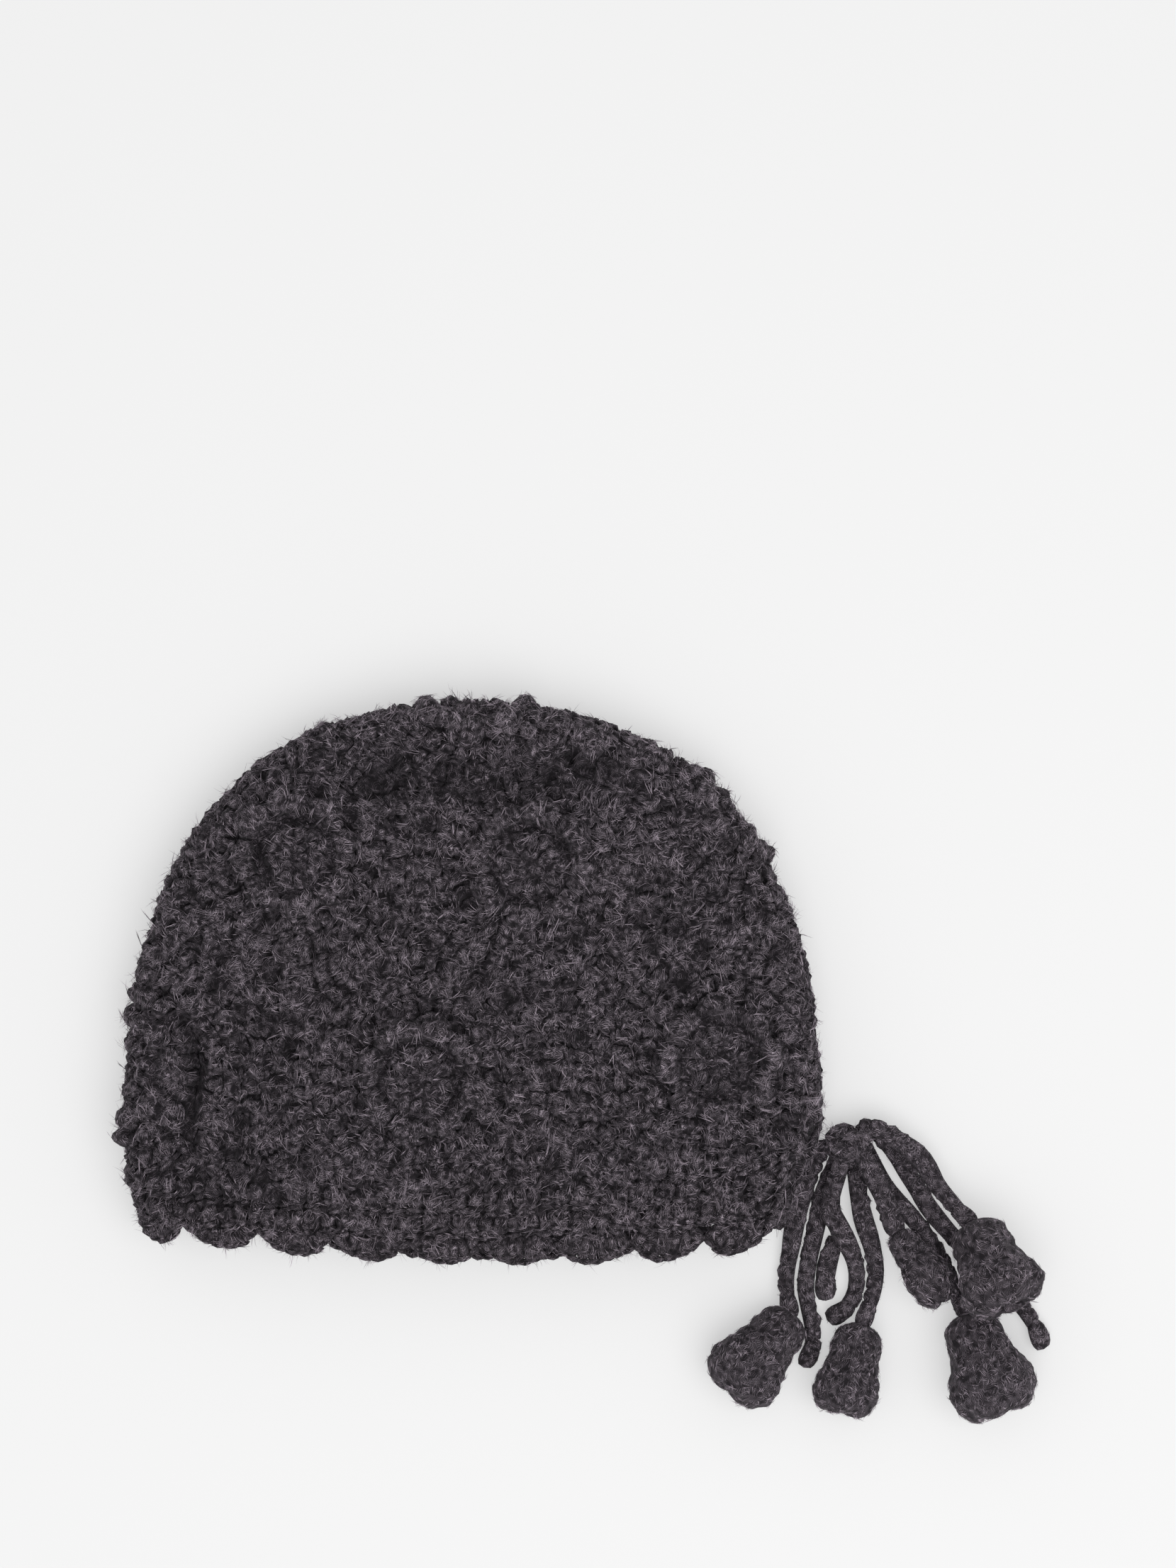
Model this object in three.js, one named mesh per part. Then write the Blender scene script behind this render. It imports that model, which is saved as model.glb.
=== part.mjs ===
// A crocheted bonnet of soft brushed yarn, lying flat on its back as a closed-up pouch: the front sheet
// and the back sheet meet in one round fold down both sides and over the top, and the hem is open for the
// head. Raised flowers sit all round it, the hem ends in shell scallops, and a drawstring leaves the right
// fold and ends in crocheted bells. Millimetres, +Z up, the top towards +Y, the hem towards -Y, and the
// flowers of the back on Z = 0.
//
// The cap is drawn on a chart: the front sheet rolled out flat over the fold. A chart point close to the
// outline lies on the fold, and one beyond the fold line lies on the back sheet.
import * as THREE from 'three';

// The outline seen from above, a superellipse about the middle of the widest round.
const HALF_WIDTH = 117.3;
const CROWN_RISE = 144.5;
const HEM_FALL = 79;
const FULLNESS = 2.45;
const OUTLINE_STEPS = 260;
const OUTLINE_TURN = 0.8 * Math.PI;
const OUTLINE_FOOT = -48;
const OUTLINE_RUN_ON = 40;

// The drawstring draws the right-hand corner of the hem in.
const TUCK = 7;
const TUCK_TOP = 8;
const TUCK_FALL = 34;

// The sheets: a round fold, a thick crocheted wall, and the back lying on its own flowers.
const FOLD_RADIUS = 11.5;
const WALL = 5;
const BACK_REST = 2.4;
const MID_HEIGHT = BACK_REST + FOLD_RADIUS;
const ROLL = (Math.PI / 2 - 1) * FOLD_RADIUS;
const QUARTER_ROLL = (Math.PI / 2) * FOLD_RADIUS;
const GAP = 0.45;

// The rounds of crochet run round the top, and straighten towards the hem.
const HEM_HEIGHT = -25.5;
const HEM_SAG = 8;
const ROUNDS = 26;
const COLUMNS = 64;

// Soft forms of the front sheet: height above the flat sheet, as oval swells and hollows. They fade out
// over a short way above their foot.
const SWELL_FOOT = -51;
const SWELL_FADE = 40;
const SWELLS = [
  { what: 'fullness of the front', x: 0, y: 48, along: 78, across: 62, turn: 0, height: 3 },
  { what: 'fold under the top flower', x: -2, y: 119, along: 42, across: 5.5, turn: 0.02, height: -4 },
  { what: 'hollow beside the left flower', x: -91.5, y: 19, along: 17, across: 5, turn: 1.5, height: -2.6 },
  { what: 'swell of the middle flower', x: -17, y: 19, along: 26, across: 26, turn: 0, height: 1.6 },
  { what: 'swell of the right flower', x: 83, y: 26, along: 24, across: 24, turn: 0, height: 1.6 },
  { what: 'swell of the upper left flower', x: -59, y: 94, along: 24, across: 24, turn: 0, height: 1.6 },
  { what: 'swell of the upper middle flower', x: 20, y: 91, along: 24, across: 24, turn: 0, height: 1.6 },
  { what: 'hollow between four flowers', x: 32, y: 58, along: 26, across: 9, turn: -0.5, height: -1.6 },
  { what: 'hollow left of the middle', x: -52, y: 52, along: 22, across: 9, turn: 0.7, height: -1.6 },
];

// The flowers' middles on the chart, five in each row round the cap and one at the top.
const FLOWERS = [
  { name: 'rosette_upper_1', side: 'front', x: -59.9, y: 94.3, turn: 0.5 },
  { name: 'rosette_upper_2', side: 'front', x: 18.8, y: 90.8, turn: 0.2 },
  { name: 'rosette_upper_3', side: 'front', x: 94.2, y: 113, turn: 0.35 },
  { name: 'rosette_upper_4', side: 'back', x: 30, y: 92, turn: 0.1 },
  { name: 'rosette_upper_5', side: 'back', x: -55, y: 92, turn: 0.4 },
  { name: 'rosette_lower_1', side: 'front', x: -119.5, y: 23.2, turn: 0.39 },
  { name: 'rosette_lower_2', side: 'front', x: -17.8, y: 19.2, turn: 0.15 },
  { name: 'rosette_lower_3', side: 'front', x: 81.7, y: 25.7, turn: 0.45 },
  { name: 'rosette_lower_4', side: 'back', x: 65, y: 20, turn: 0.25 },
  { name: 'rosette_lower_5', side: 'back', x: -35, y: 20, turn: 0 },
  { name: 'rosette_top', side: 'front', x: 0, y: 152, turn: 0.2 },
];

// A flower from its middle to its rim: the disc, the groove round it, and the ring of puffed petals.
const PETALS = 8;
const FLOWER_SPOKES = 3 * PETALS;
const FLOWER_RINGS = [
  { radius: 7.5, height: 2.2, petal: 0 },
  { radius: 12, height: 1, petal: 0 },
  { radius: 15.2, height: 2.4, petal: 2 },
  { radius: 19, height: 2.4, petal: 2.8 },
  { radius: 23, height: 0.3, petal: 0.3 },
];
const FLOWER_MIDDLE_HEIGHT = 1.8;
const UNDERSIDE_STEP = { flat: 8, folded: 4 };
const HOLLOW_BRIDGED = 0.5;

// The scalloped band: twenty shells of double crochet worked into the hem, some of them over the folds.
const SHELLS_A_SIDE = 10;
const STEPS_A_SHELL = 6;
const FRONT_SHELLS = 9.447;
const SHELL_NOTCH = 6.2;
const SHELL_RISE = 5;
const SHELL_PHASE = 0.038;
// The band is deeper towards the right of the hem than towards the left, apart from the folds.
const HEM_TILT = 3.6;
const TILT_END = 0.72;
const TILT_FADE = 0.25;
const SHELL_BLUNT = 0.7;
const BAND_GAP = 0.8;
const BAND_SECTION = [
  { down: 0, lift: 0 },
  { down: 0.6, lift: 0.9 },
  { down: 1, lift: -1.3 },
  { down: 0.96, lift: -3.6 },
  { down: 0, lift: -4.6 },
];

// The drawstring's strands of chain-stitch cord. They leave the knot, and lie on the surface that the bonnet
// lies on, or on each other. A route is a list of places x, y, z along the strand's middle.
const CORD = 5.4;
const CORD_SIDES = 10;
const CORD_STEP = 2 * CORD;
const KNOT = { x: 123.7, y: -0.5, z: 8.4, wide: 8.8, tall: 8.4, thick: 7.8, sides: 14, rings: 8 };
const STRANDS = [
  {
    name: 'tie_strand_1',
    route: [[116.7, -6, 3], [113.7, -11.5, 2.9], [110.7, -20.7, 2.8], [108.1, -29.5, 2.8],
      [106.2, -40.4, 2.8], [105, -49, 2.8], [105.4, -56, 4.6], [106.4, -61.8, 8.3]],
  },
  {
    name: 'tie_strand_2',
    route: [[121.7, -8.7, 3], [119.7, -14.5, 2.8], [117.2, -22, 2.8], [115, -32.1, 2.8], [112.4, -44, 2.8],
      [111.4, -52, 2.8], [112.2, -59, 2.8], [113.4, -66, 2.8], [113.2, -73, 2.8], [111, -79, 2.8]],
  },
  {
    name: 'tie_strand_3',
    route: [[123.4, -9.4, 9.3], [121.6, -15.5, 9.2], [119.8, -21, 9], [119.9, -26.5, 8.8],
      [122, -31, 8.9], [124, -34.8, 8.9], [126.8, -40.5, 6.8], [128.4, -46, 3.6], [128.6, -50, 2.8],
      [127.6, -55, 2.8], [124.2, -60, 2.9], [119.2, -63.2, 3.6]],
  },
  {
    name: 'tie_strand_4',
    route: [[123, -35.8, 2.8], [120.8, -39, 2.8], [118.8, -44.5, 2.8], [118, -50.5, 2.8],
      [118.2, -56.4, 2.8]],
  },
  {
    name: 'tie_strand_5',
    route: [[127, -8.2, 3], [128.2, -14.5, 2.8], [129.3, -21.5, 2.8], [130.9, -29.5, 2.8],
      [133.6, -38, 2.8], [135.2, -47, 2.8], [134.2, -55, 3.4], [131.8, -61, 5.2], [129.8, -65.3, 7.6]],
  },
  {
    name: 'tie_strand_6',
    route: [[129.9, -7.4, 9.3], [133.6, -13.6, 9], [137.2, -21, 8.8], [140, -28, 8.6], [141.8, -34, 8.6]],
  },
  {
    name: 'tie_strand_7',
    route: [[131.4, -4.9, 3], [134.8, -11.8, 2.8], [138.4, -18.9, 2.8], [142.6, -24.2, 2.8],
      [147, -28.6, 2.8], [151.4, -34.2, 2.8], [155.8, -41, 2.8], [159.4, -48, 3.2], [162.6, -55.4, 5.6],
      [165.4, -61.6, 9.4]],
  },
  {
    name: 'tie_strand_8',
    route: [[133.3, 1, 3], [138.2, -3.2, 2.8], [142, -8, 2.8], [145.2, -13.2, 2.8], [148.6, -18.4, 2.8],
      [152, -24.2, 2.8], [156.4, -30, 2.8], [163, -37.4, 2.8], [171.4, -46, 2.8], [178.8, -53, 2.8],
      [184.8, -60, 2.8], [189, -66.6, 2.8], [191.6, -72.8, 2.8]],
  },
  {
    name: 'tie_strand_9',
    route: [[133.6, 1.5, 9.4], [139, -0.5, 9.2], [144.2, -4, 8.6], [148.8, -7.4, 7.8], [152, -11.6, 7.2],
      [155.7, -18, 7.2], [160, -23, 9], [163.6, -26.8, 11.6], [167, -30.4, 14.6]],
  },
];

// The crocheted bells, each from the end of its strand to the middle of its mouth.
const BELL_SIDES = 15;
const BELL_LOBES = 5;
const BELL_LOBE_DEPTH = 0.07;
const BELLS = [
  { name: 'bell_1', strand: 'tie_strand_1', mouth: [85.9, -83.4, 13.8], mouthRadius: 12.3 },
  { name: 'bell_2', strand: 'tie_strand_5', mouth: [123.5, -92.5, 12.3], mouthRadius: 10.8 },
  { name: 'bell_3', strand: 'tie_strand_9', mouth: [177.8, -57, 24], mouthRadius: 13.4 },
  { name: 'bell_4', strand: 'tie_strand_7', mouth: [175.6, -92.4, 16], mouthRadius: 13.8 },
  { name: 'bell_5', strand: 'tie_strand_6', mouth: [154.9, -55, 15], mouthRadius: 8.5 },
];
// The bell's profile: how far from neck to mouth, and the radius as a share of the mouth's.
const BELL_PROFILE = [
  { along: 0, radius: 0.4 },
  { along: 0.05, radius: 0.6 },
  { along: 0.15, radius: 0.74 },
  { along: 0.38, radius: 0.82 },
  { along: 0.6, radius: 0.96 },
  { along: 0.8, radius: 1 },
  { along: 0.95, radius: 0.86 },
  { along: 1, radius: 0.64 },
];
const BELL_DIMPLE = 0.92;

// The middle of the cap's own box, which comes to the frame's origin.
const CAP_MIDDLE = { x: -2.2, y: 52.3 };

const YARN = new THREE.Color(0.07, 0.068, 0.075);

function smooth(t) {
  const s = Math.min(Math.max(t, 0), 1);
  return s * s * (3 - 2 * s);
}

// One point of the outline. The turn runs from 0 at the top to pi at the bottom, and sign is the side.
function outlinePoint(turn, sign) {
  const power = 2 / FULLNESS;
  const high = Math.cos(turn) > 0 ? CROWN_RISE : HEM_FALL;
  const y = high * Math.sign(Math.cos(turn)) * Math.abs(Math.cos(turn)) ** power;
  const tuck = sign > 0 ? TUCK * smooth((TUCK_TOP - y) / TUCK_FALL) : 0;
  return new THREE.Vector2(sign * (HALF_WIDTH * Math.sin(turn) ** power - tuck), y);
}

// The outline from the left end of the hem over the top to the right end, with both ends run on straight.
function makeOutline() {
  const halves = [-1, 1].map((sign) => {
    const points = [];
    for (let i = 0; i <= OUTLINE_STEPS; i += 1) {
      const point = outlinePoint((i / OUTLINE_STEPS) * OUTLINE_TURN, sign);
      if (point.y > OUTLINE_FOOT) points.push(point);
    }
    const [before, last] = points.slice(-2);
    points.push(last.clone().add(last.clone().sub(before).setLength(OUTLINE_RUN_ON)));
    return points;
  });
  return [...halves[0].reverse(), ...halves[1].slice(1)];
}

const OUTLINE = makeOutline();
const TOP_INDEX = OUTLINE.reduce((best, point, i) => (point.y > OUTLINE[best].y ? i : best), 0);
const INWARD = OUTLINE.map((point, i) => {
  const along = OUTLINE[Math.min(i + 1, OUTLINE.length - 1)].clone().sub(OUTLINE[Math.max(i - 1, 0)]);
  return new THREE.Vector2(along.y, -along.x).normalize();
});
// The fold line as it lies on the chart: the outline, let out by what the roll takes up.
const FOLD_LINE = OUTLINE.map((point, i) => point.clone().addScaledVector(INWARD[i], -ROLL));

// The nearest place on the outline: its point, its inward direction, and the distance, positive inside.
function nearestEdge(x, y) {
  let best = { distance: Infinity };
  for (let i = 0; i + 1 < OUTLINE.length; i += 1) {
    const a = OUTLINE[i];
    const b = OUTLINE[i + 1];
    const share = ((x - a.x) * (b.x - a.x) + (y - a.y) * (b.y - a.y)) / a.distanceToSquared(b);
    const t = Math.min(Math.max(share, 0), 1);
    const foot = a.clone().lerp(b, t);
    const distance = Math.hypot(x - foot.x, y - foot.y);
    if (distance < best.distance) best = { distance, foot, i, t };
  }
  const inward = INWARD[best.i].clone().lerp(INWARD[best.i + 1], best.t).normalize();
  const inside = (x - best.foot.x) * inward.x + (y - best.foot.y) * inward.y;
  return { foot: best.foot, inward, distance: Math.sign(inside) * best.distance };
}

// Height of the front sheet's soft forms, fading out on the fold and at the hem.
function swellAt(x, y, beyondFold) {
  let height = 0;
  for (const swell of SWELLS) {
    const dx = x - swell.x;
    const dy = y - swell.y;
    const along = (dx * Math.cos(swell.turn) + dy * Math.sin(swell.turn)) / swell.along;
    const across = (dy * Math.cos(swell.turn) - dx * Math.sin(swell.turn)) / swell.across;
    height += swell.height * Math.exp(-(along * along + across * across) / 2);
  }
  return height * smooth(beyondFold / QUARTER_ROLL) * smooth((y - SWELL_FOOT) / SWELL_FADE);
}

// A chart point, lifted off the outer surface by lift, as a place in space.
function onSheet(x, y, side, lift) {
  const edge = nearestEdge(x, y);
  const run = edge.distance + ROLL;
  const up = side === 'front' ? 1 : -1;
  const swell = side === 'front' ? swellAt(x, y, run) : 0;
  if (run >= QUARTER_ROLL) {
    return new THREE.Vector3(x, y, MID_HEIGHT + up * (FOLD_RADIUS + lift + swell));
  }
  const out = FOLD_RADIUS + lift + swell;
  if (run > -QUARTER_ROLL) {
    const angle = run / FOLD_RADIUS;
    const inset = FOLD_RADIUS - out * Math.cos(angle);
    const place = edge.foot.clone().addScaledVector(edge.inward, inset);
    return new THREE.Vector3(place.x, place.y, MID_HEIGHT + up * out * Math.sin(angle));
  }
  const place = edge.foot.clone().addScaledVector(edge.inward, FOLD_RADIUS - QUARTER_ROLL - run);
  return new THREE.Vector3(place.x, place.y, MID_HEIGHT - up * out);
}

// How far the fold line has run from the top, for each of its points.
function runFromTop(step) {
  const runs = [0];
  for (let i = TOP_INDEX + step; i >= 0 && i < FOLD_LINE.length; i += step) {
    runs.push(runs[runs.length - 1] + FOLD_LINE[i].distanceTo(FOLD_LINE[i - step]));
  }
  return runs;
}

const RUNS = { left: runFromTop(-1), right: runFromTop(1) };

function foldPoint(hand, run) {
  const runs = RUNS[hand];
  const step = hand === 'left' ? -1 : 1;
  let i = 1;
  while (i < runs.length - 1 && runs[i] < run) i += 1;
  const share = (run - runs[i - 1]) / (runs[i] - runs[i - 1]);
  const from = FOLD_LINE[TOP_INDEX + step * (i - 1)];
  return from.clone().lerp(FOLD_LINE[TOP_INDEX + step * i], share);
}

// The run at which the left fold reaches the height of the hem.
function runAtHeight(height) {
  const i = RUNS.left.findIndex((run, k) => FOLD_LINE[TOP_INDEX - k].y < height);
  return RUNS.left[i];
}

const HEM_RUN = runAtHeight(HEM_HEIGHT);

// A place on a round: an arc across the chart from fold to fold, deep near the top and shallow at the hem.
// The round is named by its run down the fold, and share goes from -1 at the left fold to 1 at the right.
function onRound(run, share) {
  const left = foldPoint('left', run);
  const right = foldPoint('right', run);
  const half = left.distanceTo(right) / 2;
  const across = right.clone().sub(left).normalize();
  const up = new THREE.Vector2(-across.y, across.x);
  const atHem = HEM_SAG / HALF_WIDTH;
  const depth = half * (atHem + (1 - atHem) * Math.max(1 - run / HEM_RUN, 0) ** 2);
  const radius = (half * half + depth * depth) / (2 * depth);
  const spread = Math.atan2(half, radius - depth);
  const middle = left.clone().add(right).multiplyScalar(0.5).addScaledVector(up, radius - depth);
  return middle
    .addScaledVector(across, radius * Math.sin(share * spread))
    .addScaledVector(up, -radius * Math.cos(share * spread));
}

// A whole loop round the cap: across the front from left to right, and back across the back sheet.
function loopPoint(run, column, columns, lift) {
  const turn = column / columns;
  const side = turn <= 0.5 ? 'front' : 'back';
  const share = side === 'front' ? 4 * turn - 1 : 3 - 4 * turn;
  const place = onRound(run, share);
  return onSheet(place.x, place.y, side, lift);
}

// A closed mesh from its corners and its triangles.
function makeMesh(name, corners, triangles, material) {
  const geometry = new THREE.BufferGeometry();
  const numbers = corners.flatMap((corner) => corner.toArray());
  geometry.setAttribute('position', new THREE.Float32BufferAttribute(numbers, 3));
  geometry.setIndex(triangles.flat());
  geometry.computeVertexNormals();
  const mesh = new THREE.Mesh(geometry, material);
  mesh.name = name;
  return mesh;
}

// The two triangles between four corners, listed round the face as seen from outside.
function quad(a, b, c, d) {
  return [[a, b, c], [a, c, d]];
}

// The skin of the cap from the top down to the hem: a pole, then the rounds.
function capSkin(rounds, columns, lift) {
  const corners = [onSheet(FOLD_LINE[TOP_INDEX].x, FOLD_LINE[TOP_INDEX].y, 'front', lift)];
  for (let i = 1; i <= rounds; i += 1) {
    for (let j = 0; j < columns; j += 1) {
      corners.push(loopPoint((HEM_RUN * i) / rounds, j, columns, lift));
    }
  }
  const at = (i, j) => 1 + (i - 1) * columns + (j % columns);
  const triangles = [];
  for (let j = 0; j < columns; j += 1) {
    triangles.push([0, at(1, j), at(1, j + 1)]);
    for (let i = 1; i < rounds; i += 1) {
      triangles.push(...quad(at(i, j), at(i + 1, j), at(i + 1, j + 1), at(i, j + 1)));
    }
  }
  return { corners, triangles, rim: (j) => at(rounds, j) };
}

// The cap: an outer skin, an inner skin at half its fineness, and the rim of the hem between them.
function makeCrown(material) {
  const outer = capSkin(ROUNDS, COLUMNS, 0);
  const inner = capSkin(ROUNDS / 2, COLUMNS / 2, -WALL);
  const shift = outer.corners.length;
  const triangles = [...outer.triangles];
  for (const [a, b, c] of inner.triangles) triangles.push([a + shift, c + shift, b + shift]);
  for (let j = 0; j < COLUMNS / 2; j += 1) {
    const [o0, o1, o2] = [outer.rim(2 * j), outer.rim(2 * j + 1), outer.rim(2 * j + 2)];
    const [i0, i1] = [inner.rim(j) + shift, inner.rim(j + 1) + shift];
    triangles.push([o0, i0, o1], [o1, i0, i1], [o1, i1, o2]);
  }
  return makeMesh('crown', [...outer.corners, ...inner.corners], triangles, material);
}

// The scalloped band: a ring whose section is as deep as the shell is long at that place.
function makeBand(material) {
  const columns = 2 * SHELLS_A_SIDE * STEPS_A_SHELL;
  const corners = [];
  for (let j = 0; j < columns; j += 1) {
    const halves = (2 * j) / columns;
    const behind = Math.max(halves - 1, 0);
    const backShells = 2 * SHELLS_A_SIDE - FRONT_SHELLS;
    const shell = SHELL_PHASE + Math.min(halves, 1) * FRONT_SHELLS + behind * backShells;
    const share = halves <= 1 ? 2 * halves - 1 : 3 - 2 * halves;
    const tilt = HEM_TILT * share * (1 - smooth((Math.abs(share) - TILT_END) / TILT_FADE));
    const arch = Math.abs(Math.sin(Math.PI * shell)) ** SHELL_BLUNT;
    const length = SHELL_NOTCH + SHELL_RISE * arch + tilt;
    for (const point of BAND_SECTION) {
      corners.push(loopPoint(HEM_RUN + BAND_GAP + point.down * length, j, columns, point.lift));
    }
  }
  const count = BAND_SECTION.length;
  const at = (j, k) => (j % columns) * count + (k % count);
  const triangles = [];
  for (let j = 0; j < columns; j += 1) {
    for (let k = 0; k < count; k += 1) {
      triangles.push(...quad(at(j, k), at(j, k + 1), at(j + 1, k + 1), at(j + 1, k)));
    }
  }
  return makeMesh('scallop_edge', corners, triangles, material);
}

// How far a flower may stand off the sheet before it meets the surface that the bonnet lies on.
function roomToFloor(x, y, side) {
  const run = nearestEdge(x, y).distance + ROLL;
  const down = side === 'front' ? Math.sin(Math.max(-run / FOLD_RADIUS, -Math.PI / 2)) : 1;
  if (side === 'front' && run <= -QUARTER_ROLL) return BACK_REST;
  return down > 0 ? MID_HEIGHT / down - FOLD_RADIUS : Infinity;
}

// A flower: a lens-shaped patch that follows the sheet, with its petals raised round the disc.
function makeFlower(flower, material) {
  const place = (radius, spoke, height) => {
    const angle = (2 * Math.PI * spoke) / FLOWER_SPOKES + flower.turn;
    const x = flower.x + radius * Math.cos(angle);
    const y = flower.y + radius * Math.sin(angle);
    const hollow = flower.side === 'front' ? Math.max(-swellAt(x, y, QUARTER_ROLL), 0) : 0;
    const lift = Math.min(GAP + HOLLOW_BRIDGED * hollow + height, roomToFloor(x, y, flower.side));
    return onSheet(x, y, flower.side, lift);
  };
  const last = FLOWER_RINGS.length - 1;
  const rim = FLOWER_RINGS[last].radius;
  const folded = nearestEdge(flower.x, flower.y).distance < rim;
  const step = folded ? UNDERSIDE_STEP.folded : UNDERSIDE_STEP.flat;
  const corners = [place(0, 0, FLOWER_MIDDLE_HEIGHT), place(0, 0, 0)];
  for (const ring of FLOWER_RINGS) {
    for (let k = 0; k < FLOWER_SPOKES; k += 1) {
      const puff = (1 + Math.cos((2 * Math.PI * k * PETALS) / FLOWER_SPOKES)) / 2;
      corners.push(place(ring.radius, k, ring.height + ring.petal * puff));
    }
  }
  const under = [];
  for (let radius = step; radius < rim - 1; radius += step) under.push(radius);
  for (const radius of under) {
    for (let k = 0; k < FLOWER_SPOKES; k += 1) corners.push(place(radius, k, 0));
  }
  const at = (ring, k) => 2 + ring * FLOWER_SPOKES + (k % FLOWER_SPOKES);
  const below = (ring, k) => (ring === under.length ? at(last, k) : at(FLOWER_RINGS.length + ring, k));
  const triangles = [];
  for (let k = 0; k < FLOWER_SPOKES; k += 1) {
    triangles.push([0, at(0, k), at(0, k + 1)], [1, below(0, k + 1), below(0, k)]);
    for (let i = 0; i < last; i += 1) {
      triangles.push(...quad(at(i, k), at(i + 1, k), at(i + 1, k + 1), at(i, k + 1)));
    }
    for (let i = 0; i < under.length; i += 1) {
      triangles.push(...quad(below(i, k), below(i, k + 1), below(i + 1, k + 1), below(i + 1, k)));
    }
  }
  const faces = flower.side === 'front' ? triangles : triangles.map(([a, b, c]) => [a, c, b]);
  return makeMesh(flower.name, corners, faces, material);
}

function strandCurve(strand) {
  return new THREE.CatmullRomCurve3(strand.route.map((p) => new THREE.Vector3(...p)));
}

// A strand of the drawstring, round in section.
function makeStrand(strand, material) {
  const route = strandCurve(strand);
  const section = new THREE.Shape();
  for (let k = 0; k < CORD_SIDES; k += 1) {
    const angle = (2 * Math.PI * k) / CORD_SIDES;
    const point = [(CORD / 2) * Math.cos(angle), (CORD / 2) * Math.sin(angle)];
    if (k === 0) section.moveTo(...point);
    else section.lineTo(...point);
  }
  const steps = Math.max(Math.round(route.getLength() / CORD_STEP), 2);
  const geometry = new THREE.ExtrudeGeometry(section, { extrudePath: route, steps, curveSegments: 1 });
  const mesh = new THREE.Mesh(geometry, material);
  mesh.name = strand.name;
  return mesh;
}

function makeKnot(material) {
  const ball = new THREE.SphereGeometry(1, KNOT.sides, KNOT.rings);
  const geometry = ball.scale(KNOT.wide, KNOT.tall, KNOT.thick);
  const mesh = new THREE.Mesh(geometry, material);
  mesh.name = 'tie_knot';
  mesh.position.set(KNOT.x, KNOT.y, KNOT.z);
  return mesh;
}

// A bell: a turned profile from neck to mouth, with its mouth drawn out in lobes and hollowed a little.
// Its neck meets the flat end of its strand, further off the more the bell leans from the strand's way.
function makeBell(bell, material) {
  const route = strandCurve(STRANDS.find((strand) => strand.name === bell.strand));
  const end = route.getPointAt(1);
  const mouth = new THREE.Vector3(...bell.mouth);
  const axis = mouth.clone().sub(end).normalize();
  const lean = Math.sin(axis.angleTo(route.getTangentAt(1)));
  const neck = end.addScaledVector(axis, GAP + (CORD / 2) * lean);
  const length = mouth.distanceTo(neck);
  const profile = [new THREE.Vector2(0, 0)];
  for (const row of BELL_PROFILE) {
    profile.push(new THREE.Vector2(row.radius * bell.mouthRadius, row.along * length));
  }
  profile.push(new THREE.Vector2(0, BELL_DIMPLE * length));
  const geometry = new THREE.LatheGeometry(profile, BELL_SIDES);
  const position = geometry.attributes.position;
  for (let i = 0; i < position.count; i += 1) {
    const [x, y, z] = [position.getX(i), position.getY(i), position.getZ(i)];
    const lobe = 1 + BELL_LOBE_DEPTH * (y / length) ** 2 * Math.cos(BELL_LOBES * Math.atan2(z, x));
    position.setXYZ(i, x * lobe, y, z * lobe);
  }
  const mesh = new THREE.Mesh(geometry, material);
  mesh.name = bell.name;
  mesh.quaternion.setFromUnitVectors(new THREE.Vector3(0, 1, 0), axis);
  mesh.position.copy(neck);
  return mesh;
}

function yarn(shade) {
  const color = YARN.clone().multiplyScalar(shade);
  return new THREE.MeshStandardMaterial({ color, roughness: 0.95, metalness: 0 });
}

const cap = new THREE.Group();
cap.add(makeCrown(yarn(1)), makeBand(yarn(0.95)));
for (const flower of FLOWERS) cap.add(makeFlower(flower, yarn(1.15)));

const drawstring = new THREE.Group();
drawstring.add(makeKnot(yarn(1.1)));
for (const strand of STRANDS) drawstring.add(makeStrand(strand, yarn(1.05)));
for (const bell of BELLS) drawstring.add(makeBell(bell, yarn(1.1)));

const bonnet = new THREE.Group();
bonnet.add(cap, drawstring);
bonnet.position.set(-CAP_MIDDLE.x, -CAP_MIDDLE.y, 0);

export default bonnet;
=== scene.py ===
import bpy
import numpy as np
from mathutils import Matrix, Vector


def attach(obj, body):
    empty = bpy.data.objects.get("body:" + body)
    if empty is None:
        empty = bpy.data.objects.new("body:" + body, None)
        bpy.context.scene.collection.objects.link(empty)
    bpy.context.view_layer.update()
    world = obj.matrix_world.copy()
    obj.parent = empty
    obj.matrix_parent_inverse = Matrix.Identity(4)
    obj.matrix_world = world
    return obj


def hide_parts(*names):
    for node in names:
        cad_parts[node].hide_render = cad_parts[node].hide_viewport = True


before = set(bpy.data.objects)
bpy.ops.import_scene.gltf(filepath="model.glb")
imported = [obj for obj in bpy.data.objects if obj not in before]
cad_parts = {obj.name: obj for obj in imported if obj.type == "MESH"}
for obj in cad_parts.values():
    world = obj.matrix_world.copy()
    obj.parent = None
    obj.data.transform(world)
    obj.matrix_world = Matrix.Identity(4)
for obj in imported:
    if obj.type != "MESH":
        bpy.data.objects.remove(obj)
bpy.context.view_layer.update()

MM = 0.001

# The view. The bonnet lies on its back and is seen straight from above, through a long lens. The scale of
# the picture holds at half the height of the cap, where its outline is widest.
PICTURE_HEIGHT = 525.6
PICTURE_MIDDLE = (40.1, 65.1)
OUTLINE_LEVEL = 14.0
LENS = 100.0
SENSOR = 36.0
VIEW_END = 20.0

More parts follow.
